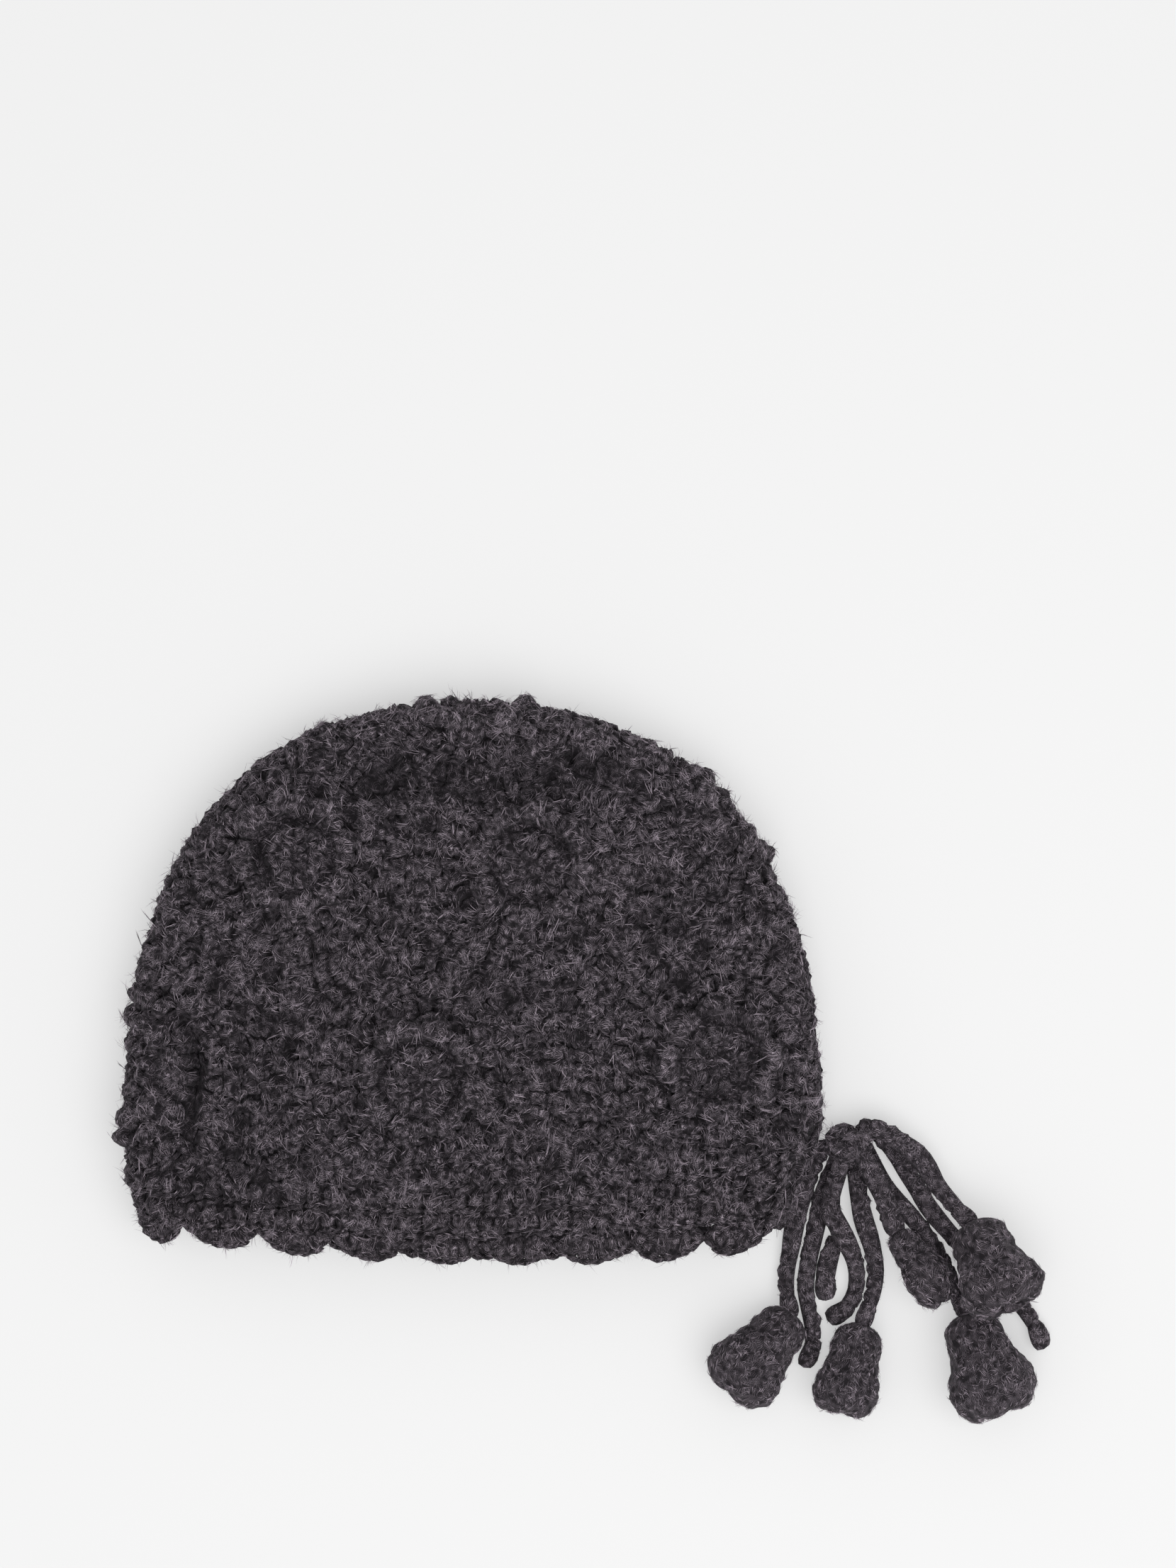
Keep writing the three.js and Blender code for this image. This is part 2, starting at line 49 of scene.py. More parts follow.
camera = bpy.data.objects.new("camera", bpy.data.cameras.new("camera"))
bpy.context.scene.collection.objects.link(camera)
camera.data.lens = LENS
camera.data.sensor_width = SENSOR
camera.data.clip_end = VIEW_END
camera.location = [
    PICTURE_MIDDLE[0] * MM,
    PICTURE_MIDDLE[1] * MM,
    (PICTURE_HEIGHT * LENS / SENSOR + OUTLINE_LEVEL) * MM,
]
bpy.context.scene.camera = camera


# The drawstring. Nine strands of soft chain-stitch cord fall from a knot at the right-hand fold. Each link
# of the chain shows as two loops that part like a V, with a third loop behind them. Sizes are measured from
# the middle of the cap's widest round, and the cap's own middle comes to the frame's origin.
CAP_MIDDLE = np.array([-2.2, 52.3, 0.0])
KNOT_MIDDLE = np.array([123.7, -0.5, 8.4])
STRANDS = {
    "tie_strand_1": [
        (116.7, -6, 3), (113.7, -11.5, 2.9), (110.7, -20.7, 2.8), (108.1, -29.5, 2.8),
        (106.2, -40.4, 2.8), (105, -49, 2.8), (105.4, -56, 4.6), (106.4, -61.8, 8.3),
    ],
    "tie_strand_2": [
        (121.7, -8.7, 3), (119.7, -14.5, 2.8), (117.2, -22, 2.8), (115, -32.1, 2.8), (112.4, -44, 2.8),
        (111.4, -52, 2.8), (112.2, -59, 2.8), (113.4, -66, 2.8), (113.2, -73, 2.8), (111, -79, 2.8),
    ],
    "tie_strand_3": [
        (123.4, -9.4, 9.3), (121.6, -15.5, 9.2), (119.8, -21, 9), (119.9, -26.5, 8.8), (122, -31, 8.9),
        (124, -34.8, 8.9), (126.8, -40.5, 6.8), (128.4, -46, 3.6), (128.6, -50, 2.8), (127.6, -55, 2.8),
        (124.2, -60, 2.9), (119.2, -63.2, 3.6),
    ],
    "tie_strand_4": [
        (123, -35.8, 2.8), (120.8, -39, 2.8), (118.8, -44.5, 2.8), (118, -50.5, 2.8), (118.2, -56.4, 2.8),
    ],
    "tie_strand_5": [
        (127, -8.2, 3), (128.2, -14.5, 2.8), (129.3, -21.5, 2.8), (130.9, -29.5, 2.8), (133.6, -38, 2.8),
        (135.2, -47, 2.8), (134.2, -55, 3.4), (131.8, -61, 5.2), (129.8, -65.3, 7.6),
    ],
    "tie_strand_6": [
        (129.9, -7.4, 9.3), (133.6, -13.6, 9), (137.2, -21, 8.8), (140, -28, 8.6), (141.8, -34, 8.6),
    ],
    "tie_strand_7": [
        (131.4, -4.9, 3), (134.8, -11.8, 2.8), (138.4, -18.9, 2.8), (142.6, -24.2, 2.8),
        (147, -28.6, 2.8), (151.4, -34.2, 2.8), (155.8, -41, 2.8), (159.4, -48, 3.2), (162.6, -55.4, 5.6),
        (165.4, -61.6, 9.4),
    ],
    "tie_strand_8": [
        (133.3, 1, 3), (138.2, -3.2, 2.8), (142, -8, 2.8), (145.2, -13.2, 2.8), (148.6, -18.4, 2.8),
        (152, -24.2, 2.8), (156.4, -30, 2.8), (163, -37.4, 2.8), (171.4, -46, 2.8), (178.8, -53, 2.8),
        (184.8, -60, 2.8), (189, -66.6, 2.8), (191.6, -72.8, 2.8),
    ],
    "tie_strand_9": [
        (133.6, 1.5, 9.4), (139, -0.5, 9.2), (144.2, -4, 8.6), (148.8, -7.4, 7.8), (152, -11.6, 7.2),
        (155.7, -18, 7.2), (160, -23, 9), (163.6, -26.8, 11.6), (167, -30.4, 14.6),
    ],
}

# Its yarn is also the cap's: a charcoal heather of wool and mohair, brushed after the work was done, so that
# pale hairs lie over darker ones in short curls. Each corner of a mesh knows its shade, and one over
# HAIR_MARK belongs to a loose hair.
HAIR_MARK = 1.0
DARK = (0.009, 0.0075, 0.0092)
PALE = (0.60, 0.515, 0.59)
YARN_FULLNESS = 0.6
# Its fine lines, in three layers: their spacing, how finely they wander and break off, and how strong they
# are. The first layer is measured in centimetres of the stitch, the others in metres of the bonnet.
LINES_ALONG = (0.052, 260.0, 470.0, 1.3)
LINES_SLANTED = (0.00066, 210.0, 420.0, 1.0)
LINES_LEVEL = (0.00072, 230.0, 440.0, 1.0)
# How far the lines shift with height, how far they wander and how narrow they are. Where the noise falls
# under LINE_BREAK a line stops, and it comes back as fast as LINE_RETURN says.
LINE_LEAN = 0.8
LINE_WANDER = 9.0
LINE_SHARPNESS = 4.0
LINE_BREAK, LINE_RETURN = 0.43, 7.0
LINE_HEIGHT = 0.5
# Its darker clumps: how fine they are, where they end, and how strong and high they are. A yarn with none
# is WITHOUT_CLUMPS pale all over.
CLUMP_FINENESS = 560.0
CLUMP_EDGE, CLUMP_STRENGTH, CLUMP_HEIGHT = 0.33, 3.0, 1.6
WITHOUT_CLUMPS = 0.5
# The paleness of a corner with no shade, and how much it gains with its shade, which holds its own tone and
# painted shade.
DEEP_TONE, TONE_RISE = 0.45, 1.1

# All that differs from stitch to stitch and from hair to hair is drawn from here, in the order of the file.
SHADE_SEED = 2394
draw = np.random.default_rng(SHADE_SEED)


class Wire:
    """A number on its way through a material: arithmetic on it adds Math nodes."""

    def __init__(self, recipe, socket):
        self.recipe = recipe
        self.socket = socket

    def maths(self, operation, *values):
        inputs = dict(enumerate(values))
        return self.recipe.node("ShaderNodeMath", {"operation": operation}, inputs)

    def __add__(self, other):
        return self.maths("ADD", self, other)

    def __mul__(self, other):
        return self.maths("MULTIPLY", self, other)

    def __sub__(self, other):
        return self.maths("SUBTRACT", self, other)

    def __rsub__(self, other):
        return self.maths("SUBTRACT", other, self)

    def __gt__(self, other):
        return self.maths("GREATER_THAN", self, other)

    def __abs__(self):
        return self.maths("ABSOLUTE", self)

    def __pow__(self, other):
        return self.maths("POWER", self, other)

    def clamped(self):
        """The number kept between 0 and 1."""
        return self.maths("MINIMUM", self.maths("MAXIMUM", self, 0.0), 1.0)

    __radd__ = __add__
    __rmul__ = __mul__


class Recipe:
    """A material and its nodes."""

    def __init__(self, name):
        self.material = bpy.data.materials.new(name)
        self.material.use_nodes = True
        self.material.node_tree.nodes.clear()

    def node(self, kind, settings=None, inputs=None, output=0):
        """One node of a type: its settings first, then the values or links of its sockets."""
        made = self.material.node_tree.nodes.new(kind)
        for name, value in (settings or {}).items():
            setattr(made, name, value)
        for name, value in (inputs or {}).items():
            if isinstance(value, Wire):
                self.material.node_tree.links.new(value.socket, made.inputs[name])
            else:
                made.inputs[name].default_value = value
        return Wire(self, made.outputs[output]) if made.outputs else None


def make_yarn(name, dark, pale, fullness=YARN_FULLNESS, even=0.05, drawn=0.6, clumpy=1.0):
    """Brushed yarn: three layers of fine lines, which run along the stitches and across them.

    A layer is a saw wave over a warped coordinate, made into ridges and broken up by a finer noise. even is
    how pale the yarn is between its lines, drawn how much they add, and clumpy how blotched it is."""
    recipe = Recipe(name)
    corner = recipe.node("ShaderNodeTexCoord", output="UV")
    place = recipe.node("ShaderNodeTexCoord", output="Object")
    shade = recipe.node("ShaderNodeAttribute", {"attribute_name": "shade"}, output="Fac")

    def noise(scale, offset=0.0, detail=1.0, rough=0.5):
        moved = recipe.node("ShaderNodeMapping", {}, {"Vector": place, "Location": (offset, 0.0, 0.0)})
        return recipe.node(
            "ShaderNodeTexNoise",
            {},
            {"Vector": moved, "Scale": scale, "Detail": detail, "Roughness": rough},
        )

    def hairs(across, layer, offset):
        spacing, wander, breaks, strength = layer
        phase = across * (1.0 / spacing) + noise(wander, offset) * LINE_WANDER
        ridge = 1.0 - abs(phase.maths("FRACT", phase) - 0.5) * 2.0
        kept = ((noise(breaks, offset + 0.3, 0.0) - LINE_BREAK) * LINE_RETURN).clamped()
        return (ridge**LINE_SHARPNESS) * kept * strength

    def part_of(vector, axis):
        return recipe.node("ShaderNodeSeparateXYZ", {}, {"Vector": vector}, output=axis)

    lean = part_of(place, 2) * LINE_LEAN
    lines = (
        hairs(part_of(corner, 0), LINES_ALONG, 1.0)
        + hairs(part_of(place, 0) + lean, LINES_SLANTED, 2.0)
        + hairs(part_of(place, 1) + lean, LINES_LEVEL, 3.0)
    )
    clumps = noise(CLUMP_FINENESS, 4.0, 2.0)
    loose = shade > HAIR_MARK
    heather = (clumps - CLUMP_EDGE).clamped() * (CLUMP_STRENGTH * clumpy) + WITHOUT_CLUMPS * (1.0 - clumpy)
    # The corner's shade holds the painted shade of the front's hollows, the ground and low places.
    depth = DEEP_TONE + shade * TONE_RISE
    paleness = (1.0 - loose) * (even + lines * drawn) * heather * depth * fullness
    paleness = paleness + loose * (shade - HAIR_MARK)
    colour = recipe.node(
        "ShaderNodeMix",
        {"data_type": "RGBA"},
        {"Factor": paleness.clamped(), 6: (*dark, 1.0), 7: (*pale, 1.0)},
        output=2,
    )
    height = (lines * LINE_HEIGHT + clumps * (CLUMP_HEIGHT * clumpy)) * (1.0 - loose)
    bump = recipe.node(
        "ShaderNodeBump",
        {},
        {"Strength": 0.45, "Distance": 0.00035, "Height": height},
    )
    surface = recipe.node(
        "ShaderNodeBsdfPrincipled",
        {},
        {
            "Base Color": colour,
            "Normal": bump,
            "Roughness": 0.92,
            "Specular IOR Level": 0.15,
            "Sheen Weight": 0.06,
            "Sheen Roughness": 0.5,
            "Sheen Tint": (0.75, 0.72, 0.76, 1.0),
        },
    )
    recipe.node("ShaderNodeOutputMaterial", {}, {"Surface": surface})
    return recipe.material


def smooth(t):
    """A soft step from 0 to 1: three t squared less two t cubed."""
    s = np.clip(t, 0, 1)
    return s * s * (3 - 2 * s)


def spindle(sides, rings, bluntness):
    """A closed spindle: rings of corners between two tips, as thick as the sine of their place to a power.

    It gives each corner's place from 0 to 1, its angle and its thickness, and the quads and triangles."""
    ring_at = (np.arange(rings) + 0.5) / rings
    angle = 2 * np.pi * np.arange(sides) / sides
    at = np.concatenate([[0.0], np.repeat(ring_at, sides), [1.0]])
    turn = np.concatenate([[0.0], np.tile(angle, rings), [0.0]])
    thick = np.sin(np.pi * at).clip(0) ** bluntness
    thick[[0, -1]] = 0
    k = np.arange(sides)
    following = (k + 1) % sides
    start = 1 + sides * np.arange(rings - 1)[:, None]
    quads = np.stack([start + k, start + following, start + sides + following, start + sides + k], -1)
    last = 1 + sides * rings
    first_fan = np.stack([np.zeros(sides, int), 1 + following, 1 + k], -1)
    last_fan = np.stack([np.full(sides, last), last - sides + k, last - sides + following], -1)
    return at, turn, thick, quads.reshape(-1, 4), np.concatenate([first_fan, last_fan])


def facing_out(part):
    """The part with its faces turned round if they enclose a negative volume."""
    p = part["points"]
    fans = np.concatenate([part["tris"], part["quads"][:, :3], part["quads"][:, [0, 2, 3]]])
    volume = np.einsum("ij,ij->", p[fans[:, 0]], np.cross(p[fans[:, 1]], p[fans[:, 2]]))
    if volume < 0:
        part["quads"] = part["quads"][:, ::-1]
        part["tris"] = part["tris"][:, ::-1]
    return part


# How deep two plies part, how much like stitches differ in width and tone, and how much paler they are
# painted for each millimetre above a set height over their middle line: painted shade low on each stitch,
# painted light on its top.
PLY_DEPTH = 0.14
WIDTH_SPREAD = 0.05
TONE_SPREAD = 0.1
PAINTED_TOP_LIGHT, PAINTED_LIGHT_FROM = 0.2, 0.6
DARKEST = 0.02
# The yarn's pattern is laid in centimetres. It starts anew on each stitch, up to PATTERN_SHIFT further on,
# and PATTERN_ROUND is how much of it goes round a stitch that is as wide as it is thick.
CENTIMETRE = 10
PATTERN_SHIFT = 50
PATTERN_ROUND = 0.6


def stitches(place, foot, head, width, thick, lift, form, twist=0.0, shade=0.5, jitter=0.0, lit=None):
    """Many like stitches: each a spindle from its foot to its head on a sheet.

    place gives the point for sheet coordinates and a lift. width is the stitch's at foot and head. lift is
    its middle line's at foot, middle and head, as a parabola. twist winds two plies round it in a helix."""
    at, turn, full, quads, tris = form
    count = len(foot)
    foot = foot + draw.normal(0, jitter, foot.shape)
    head = head + draw.normal(0, jitter, head.shape)
    way = head - foot
    length = np.linalg.norm(way, axis=1)
    side = np.stack([-way[:, 1], way[:, 0]], 1) / length[:, None]
    start = draw.uniform(0, 2 * np.pi, count)
    helix = np.cos(2 * (turn - 2 * np.pi * twist * at) + start[:, None])
    plies = 1 + PLY_DEPTH * helix * (twist != 0)
    width = np.broadcast_to(width, (count, 2)) * draw.normal(1, WIDTH_SPREAD, (count, 1))
    lift = np.broadcast_to(lift, (count, 3)) + draw.normal(0, 0.5 * jitter, (count, 1))
    thick = np.broadcast_to(thick, (count,))[:, None]
    half = 0.5 * (width[:, :1] * (1 - at) + width[:, 1:] * at) * full * plies
    flat = foot[:, None] + way[:, None] * at[:, None] + side[:, None] * (half * np.cos(turn))[..., None]
    middle = lift[:, :1] * (1 - at) * (1 - 2 * at) + lift[:, 1:2] * 4 * at * (1 - at)
    middle = middle + lift[:, 2:] * at * (2 * at - 1)
    rise = middle + 0.5 * thick * full * plies * np.sin(turn)
    x, y = flat[..., 0].ravel(), flat[..., 1].ravel()
    points = place(x, y, rise.ravel())
    above = place(x, y, rise.ravel() + 1.0)
    runs = place(head[:, 0], head[:, 1], lift[:, 2]) - place(foot[:, 0], foot[:, 1], lift[:, 0])
    runs /= np.linalg.norm(runs, axis=1)[:, None]
    girth = PATTERN_ROUND * (width.mean(1)[:, None] + thick) / CENTIMETRE
    around = np.abs(turn / np.pi - 1) * girth
    distance = at * length[:, None] / CENTIMETRE + draw.uniform(0, PATTERN_SHIFT, (count, 1))
    tone = shade + draw.normal(0, TONE_SPREAD, (count, 1))
    # Painted shade low on each stitch and painted light on its top, by height over its middle line.
    tone = tone + PAINTED_TOP_LIGHT * (rise - lift.mean(1)[:, None] - PAINTED_LIGHT_FROM)
    # lit paints the shade of the front's hollows into the tone.
    if lit:
        tone = tone * lit(x, y).reshape(tone.shape)
    shift = (np.arange(count) * len(at))[:, None, None]
    around = around + draw.uniform(0, PATTERN_SHIFT, (count, 1))
    return facing_out({
        "points": points,
        "quads": (quads + shift).reshape(-1, 4),
        "tris": (tris + shift).reshape(-1, 3),
        "uv": np.stack([around, distance], -1).reshape(-1, 2),
        "shade": np.clip(tone, DARKEST, HAIR_MARK).ravel(),
        "along": np.repeat(runs, len(at), 0),
        "outward": above - points,
    })


def joined(parts):
    """Several parts as one, their faces renumbered."""
    start = np.cumsum([0] + [len(part["points"]) for part in parts])
    whole = {
        key: np.concatenate([part[key] for part in parts])
        for key in ("points", "uv", "shade", "along", "outward")
    }
    for key in ("quads", "tris"):
        whole[key] = np.concatenate([part[key] + n for part, n in zip(parts, start)])
    return whole


# Loose hairs, some longer than the rest. They grow in locks of four, on faces that look outwards by OUTER or
# more, and more of them from pale yarn than from dark: FROM_DARK is what yarn of no shade would still grow.
HAIR_LENGTH = 3.0
HAIR_RADIUS = 0.066
SHORTEST_HAIR = 1.0
LENGTH_SPREAD = 0.3
LONG_SHARE, LONGER = 0.14, 1.9
LOCK = 4
FROM_DARK = 0.08
OUTER = 0.15
# How much locks, and the hairs in a lock, differ in heading and in curl.
HEADING_SPREAD, HEADING_IN_LOCK = 0.8, 0.22
CURL_SPREAD, CURL_IN_LOCK = 0.6, 0.15
# How steeply they leave, as a gamma distribution, and how round they bend back.
TILT_POWER, TILT_SIZE, STEEPEST = 1.6, 0.15, 0.9
HAIR_ROUND = 11.0
# Their paleness: its middle on a log scale, how much hairs and locks differ, and how it goes by their root's,
# so that hairs from painted shade are darker too.
PALE_MIDDLE, PALE_SPREAD, PALE_BY_LOCK = -0.6, 0.7, 0.45
ROOT_TONE, ROOT_RISE, ROOT_MOST = 0.2, 1.5, 1.1
SHORT_HAIR = spindle(3, 1, 0.3)
LONG_HAIR = spindle(3, 2, 0.3)


def brushed(part, count, all_round=False, lively=1.0, pale=0.8, longest=9.0):
    """The part with loose hairs: thin bent spindles rooted on its outer faces, lying mostly along them.

    They come in locks of nearly the same course. A hair is a parabola: root + way * s + bend * s squared,
    bent down as much as a circle that is HAIR_ROUND in radius, and more if it leaves its ground steeply."""
    p = part["points"]
    fans = np.concatenate([part["tris"], part["quads"][:, :3], part["quads"][:, [0, 2, 3]]])
    cross = np.cross(p[fans[:, 1]] - p[fans[:, 0]], p[fans[:, 2]] - p[fans[:, 0]])
    area = np.linalg.norm(cross, axis=1) + 1e-9
    normal = cross / area[:, None]
    facing = np.einsum("ij,ij->i", normal, part["outward"][fans[:, 0]])
    weight = area * ((facing > OUTER) | all_round) * (FROM_DARK + part["shade"][fans[:, 0]])
    made = [part]
    for form, number, length, rise in (
        (SHORT_HAIR, int(count * (1 - LONG_SHARE)), HAIR_LENGTH, 1.0),
        (LONG_HAIR, int(count * LONG_SHARE), LONGER * HAIR_LENGTH, 0.5),
    ):
        locks = number // LOCK
        lock = np.repeat(np.arange(locks), LOCK)
        number = len(lock)
        pick = draw.choice(len(fans), locks, p=weight / weight.sum())[lock]
        share = draw.dirichlet((1, 1, 1), number)
        root = np.einsum("ij,ijk->ik", share, p[fans[pick]])
        off = normal[pick]
        ground = part["shade"][fans[pick, 0]]
        along = part["along"][fans[pick, 0]]
        along = along - off * np.einsum("ij,ij->i", along, off)[:, None]
        along /= np.linalg.norm(along, axis=1)[:, None] + 1e-9
        side = np.cross(off, along)
        heading = draw.normal(0, HEADING_SPREAD, locks) + np.pi * draw.integers(0, 2, locks)
        angle = heading[lock] + draw.normal(0, HEADING_IN_LOCK, number)
        tilt = draw.gamma(TILT_POWER, TILT_SIZE, number).clip(0, STEEPEST)
        tilt = (tilt * lively * rise)[:, None]
        way = along * np.cos(angle)[:, None] + side * np.sin(angle)[:, None]
        swing = np.cross(off, way)
        way = way + off * tilt
        size = (length * draw.lognormal(0, LENGTH_SPREAD, number)).clip(SHORTEST_HAIR, longest)[:, None]
        curl = draw.normal(0, CURL_SPREAD, (locks, 1))[lock] + draw.normal(0, CURL_IN_LOCK, (number, 1))
        fall = tilt * draw.uniform(0.5, 1.1, (number, 1)) + size / (2 * HAIR_ROUND)
        bend = swing * curl.clip(-1, 1) - off * fall
        at, turn, full, quads, tris = form
        s = at[:, None]
        spot = root / CENTIMETRE
        middle = (root - off * 0.1)[:, None] + (way[:, None] * s + bend[:, None] * s * s) * size[:, None]
        radius = HAIR_RADIUS * draw.uniform(0.6, 1.4, (number, 1)) * full
        ring = swing[:, None] * np.cos(turn)[:, None] + off[:, None] * np.sin(turn)[:, None]
        shift = (np.arange(number) * len(at))[:, None, None]
        by_lock = draw.lognormal(0, PALE_BY_LOCK, (locks, 1))[lock]
        bright = pale * draw.lognormal(PALE_MIDDLE, PALE_SPREAD, (number, 1)) * by_lock
        bright = bright * (ROOT_TONE + ROOT_RISE * ground[:, None]).clip(0, ROOT_MOST)
        tone = HAIR_MARK + 0.02 + bright.clip(0.02, 1.0) + 0 * at
        made.append(facing_out({
            "points": (middle + ring * radius[..., None]).reshape(-1, 3),
            "quads": (quads + shift).reshape(-1, 4),
            "tris": (tris + shift).reshape(-1, 3),
            "uv": np.stack([0 * at + spot[:, :1], at + spot[:, 1:2]], -1).reshape(-1, 2),
            "shade": tone.ravel(),
            "along": np.repeat(way, len(at), 0),
            "outward": np.repeat(off, len(at), 0),
        }))
    return joined(made)


# The height to which what would sink into the floor is pressed flat.
ON_FLOOR = 0.1


def make_piece(name, part, material, replaced=()):
    """A mesh object of the part's corners and faces, in metres, which rides on the bonnet."""
    mesh = bpy.data.meshes.new(name)
    quads, tris = part["quads"], part["tris"]
    loops = np.concatenate([quads.ravel(), tris.ravel()]).astype(np.int32)
    sizes = np.concatenate([np.full(len(quads), 4), np.full(len(tris), 3)]).astype(np.int32)
    mesh.vertices.add(len(part["points"]))
    points = np.maximum(part["points"], (-np.inf, -np.inf, ON_FLOOR))
    mesh.vertices.foreach_set("co", (points * MM).astype(np.float32).ravel())
    mesh.loops.add(len(loops))
    mesh.loops.foreach_set("vertex_index", loops)
    mesh.polygons.add(len(sizes))
    mesh.polygons.foreach_set("loop_start", (np.cumsum(sizes) - sizes).astype(np.int32))
    mesh.polygons.foreach_set("loop_total", sizes)
    mesh.polygons.foreach_set("use_smooth", np.ones(len(sizes), bool))
    mesh.update(calc_edges=True)
    mesh.uv_layers.new(name="yarn")
    mesh.uv_layers["yarn"].data.foreach_set("uv", part["uv"][loops].astype(np.float32).ravel())
    mesh.attributes.new("shade", "FLOAT", "POINT")
    mesh.attributes["shade"].data.foreach_set("value", part["shade"].astype(np.float32))
    mesh.materials.append(material)
    piece = bpy.data.objects.new(name, mesh)
    bpy.context.scene.collection.objects.link(piece)
    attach(piece, "root")
    if replaced:
        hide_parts(*replaced)
    return piece


# The cord itself. It is a little fuller near the knot, and some strands are wider over their last stretch,
# each by a share of its width. It rolls to and fro as it lies. Its hairs are counted to the millimetre.
LINK = 4.5
FULLER_AT_KNOT, FULLER_RUN = 0.16, 24.0
LEAF = {"tie_strand_2": 0.06, "tie_strand_3": 0.06, "tie_strand_6": 0.18, "tie_strand_8": 0.06}
LEAF_RUN = 14.0
CORD_ROLL, CORD_ROLL_RUN = 0.55, 11
CORD_HAIRS = 24
CORD_START, CORD_TIP, CORD_END_RUN = 0.2, 0.8, 10
CORE = dict(width=(6.0, 6.0), thick=5.0, lift=(0, 0, 0), shade=0.35)
CORD_END = dict(width=(5.4, 7.6), thick=4.8, lift=(0.2, 0.4, 0.0))
FRONT_LOOP = dict(width=(3.2, 3.5), thick=2.8, lift=(0.7, 1.2, 0.5), twist=0.75, shade=0.55, jitter=0.12)
REAR_LOOP = dict(width=(3.4, 3.4), thick=2.4, lift=(-1.2, -1.5, -1.2), twist=0.7)
# The three rows of loops: where a loop's foot and its head are, along the cord from the middle of the link
# and to the side, and which kind of loop it is.
CORD_ROWS = [
    ((-3.6, -0.5), (3.0, -1.8), FRONT_LOOP),
    ((-3.6, 0.5), (3.0, 1.8), FRONT_LOOP),
    ((-2.8, 0.0), (2.4, 0.0), REAR_LOOP),
]
cord_yarn = make_yarn("cord_yarn", DARK, PALE, even=0.06, drawn=0.68, clumpy=0.6)


def smooth_route(route, step=0.5, pieces=40):
    """A centripetal Catmull-Rom curve through the route's points, as points a step apart.

    Each stretch is a cubic whose end speeds come from the square roots of the distances between points."""
    knots = np.array(route, float) - CAP_MIDDLE
    knots = np.concatenate([[2 * knots[0] - knots[1]], knots, [2 * knots[-1] - knots[-2]]])
    gaps = np.linalg.norm(np.diff(knots, axis=0), axis=1)[:, None] ** 0.5
    a, b, c, d = knots[:-3], knots[1:-2], knots[2:-1], knots[3:]
    g, h, k = gaps[:-2], gaps[1:-1], gaps[2:]
    leave = ((b - a) / g - (c - a) / (g + h) + (c - b) / h) * h
    reach = ((c - b) / h - (d - b) / (h + k) + (d - c) / k) * h
    s = np.linspace(0, 1, pieces, endpoint=False)[None, :, None]
    b, c, leave, reach = b[:, None], c[:, None], leave[:, None], reach[:, None]
    curve = b + leave * s + (3 * (c - b) - 2 * leave - reach) * s**2 + (2 * (b - c) + leave + reach) * s**3
    curve = np.concatenate([curve.reshape(-1, 3), knots[-2:-1]])
    run = np.concatenate([[0], np.cumsum(np.linalg.norm(np.diff(curve, axis=0), axis=1))])
    even = np.linspace(0, run[-1], max(int(run[-1] / step), 8))
    return np.stack([np.interp(even, run, curve[:, i]) for i in range(3)], 1), run[-1]


def along_route(curve, length, phase, leaf=0.0):
    """The place function of a cord: run along it, offset to its side, lift off its middle line.

    The side turns slowly round the cord, as a soft chain does when it is laid down. leaf is how much wider
    the last links are."""
    run = np.linspace(0, length, len(curve))
    way = np.gradient(curve, axis=0)
    way /= np.linalg.norm(way, axis=1)[:, None]
    side = np.cross(way, [0, 0, 1.0])
    side /= np.linalg.norm(side, axis=1)[:, None]
    over = np.cross(side, way)
    roll = CORD_ROLL * np.sin(run / CORD_ROLL_RUN + phase)[:, None]
    side, over = side * np.cos(roll) + over * np.sin(roll), over * np.cos(roll) - side * np.sin(roll)

    def place(a, b, lift):
        def at(rows):
            return np.stack([np.interp(a, run, rows[:, i]) for i in range(3)], 1)
        past = (a - np.clip(a, 0, length))[:, None]
        b = b * (1 + leaf * smooth((a - length + LEAF_RUN) / (0.5 * LEAF_RUN)))
        b = b * (1 + FULLER_AT_KNOT * (1 - smooth((a - FULLER_RUN) / FULLER_RUN)))
        return at(curve) + at(way) * past + at(side) * b[:, None] + at(over) * lift[:, None]

    return place


def chain_cord(curve, length, phase=0.0, leaf=0.0):
    """A chain-stitch cord: a core with a rounded end, two rows of loops in front, and one row behind."""
    place = along_route(curve, length, phase, leaf)
    core = spindle(10, max(int(length / 3), 4), 0.22)
    end = spindle(12, 8, 0.3)
    loop = spindle(7, 4, 0.5)
    count = max(int(round(length / LINK)), 2)
    link = (np.arange(count) + 0.5) * length / count

    def on_line(a):
        return np.array([[a, 0.0]])

    parts = [
        stitches(place, on_line(CORD_START), on_line(length - CORD_START), form=core, **CORE),
        stitches(place, on_line(length - CORD_END_RUN), on_line(length + CORD_TIP), form=end, **CORD_END),
    ]
    for (first, from_side), (last, to_side), kind in CORD_ROWS:
        foot = np.stack([(link + first).clip(CORD_START), np.full(count, from_side)], 1)
        head = np.stack([(link + last).clip(None, length - CORD_TIP), np.full(count, to_side)], 1)
        parts.append(stitches(place, foot, head, form=loop, **kind))
    return joined(parts)


def make_cord(name, phase):
    """The strand's piece, its middle line and its length. Its start lies inside the knot."""
    route = STRANDS[name]
    if name != "tie_strand_4":
        route = [tuple((KNOT_MIDDLE + route[0]) / 2), *route]
    curve, length = smooth_route(route)
    part = chain_cord(curve, length, phase, LEAF.get(name, 0.0))
    part = brushed(part, int(length * CORD_HAIRS), all_round=True, lively=0.2, pale=1.0, longest=1.5)
    piece = make_piece(name + "_chain", part, cord_yarn, [name])
    return piece, curve * MM, length * MM


cords = {name: make_cord(name, 1.7 * i) for i, name in enumerate(STRANDS)}


# The knot, where the strands are drawn together at the fold: a short cord wound three times through itself.
# KNOT_LIES is how far it lies from the middle of the knot's solid.
KNOT_LIES = (1.2, -2.9, 0.0)
KNOT_HALVES = (2.0, 1.3, 3.8)
KNOT_HAIRS = 1500


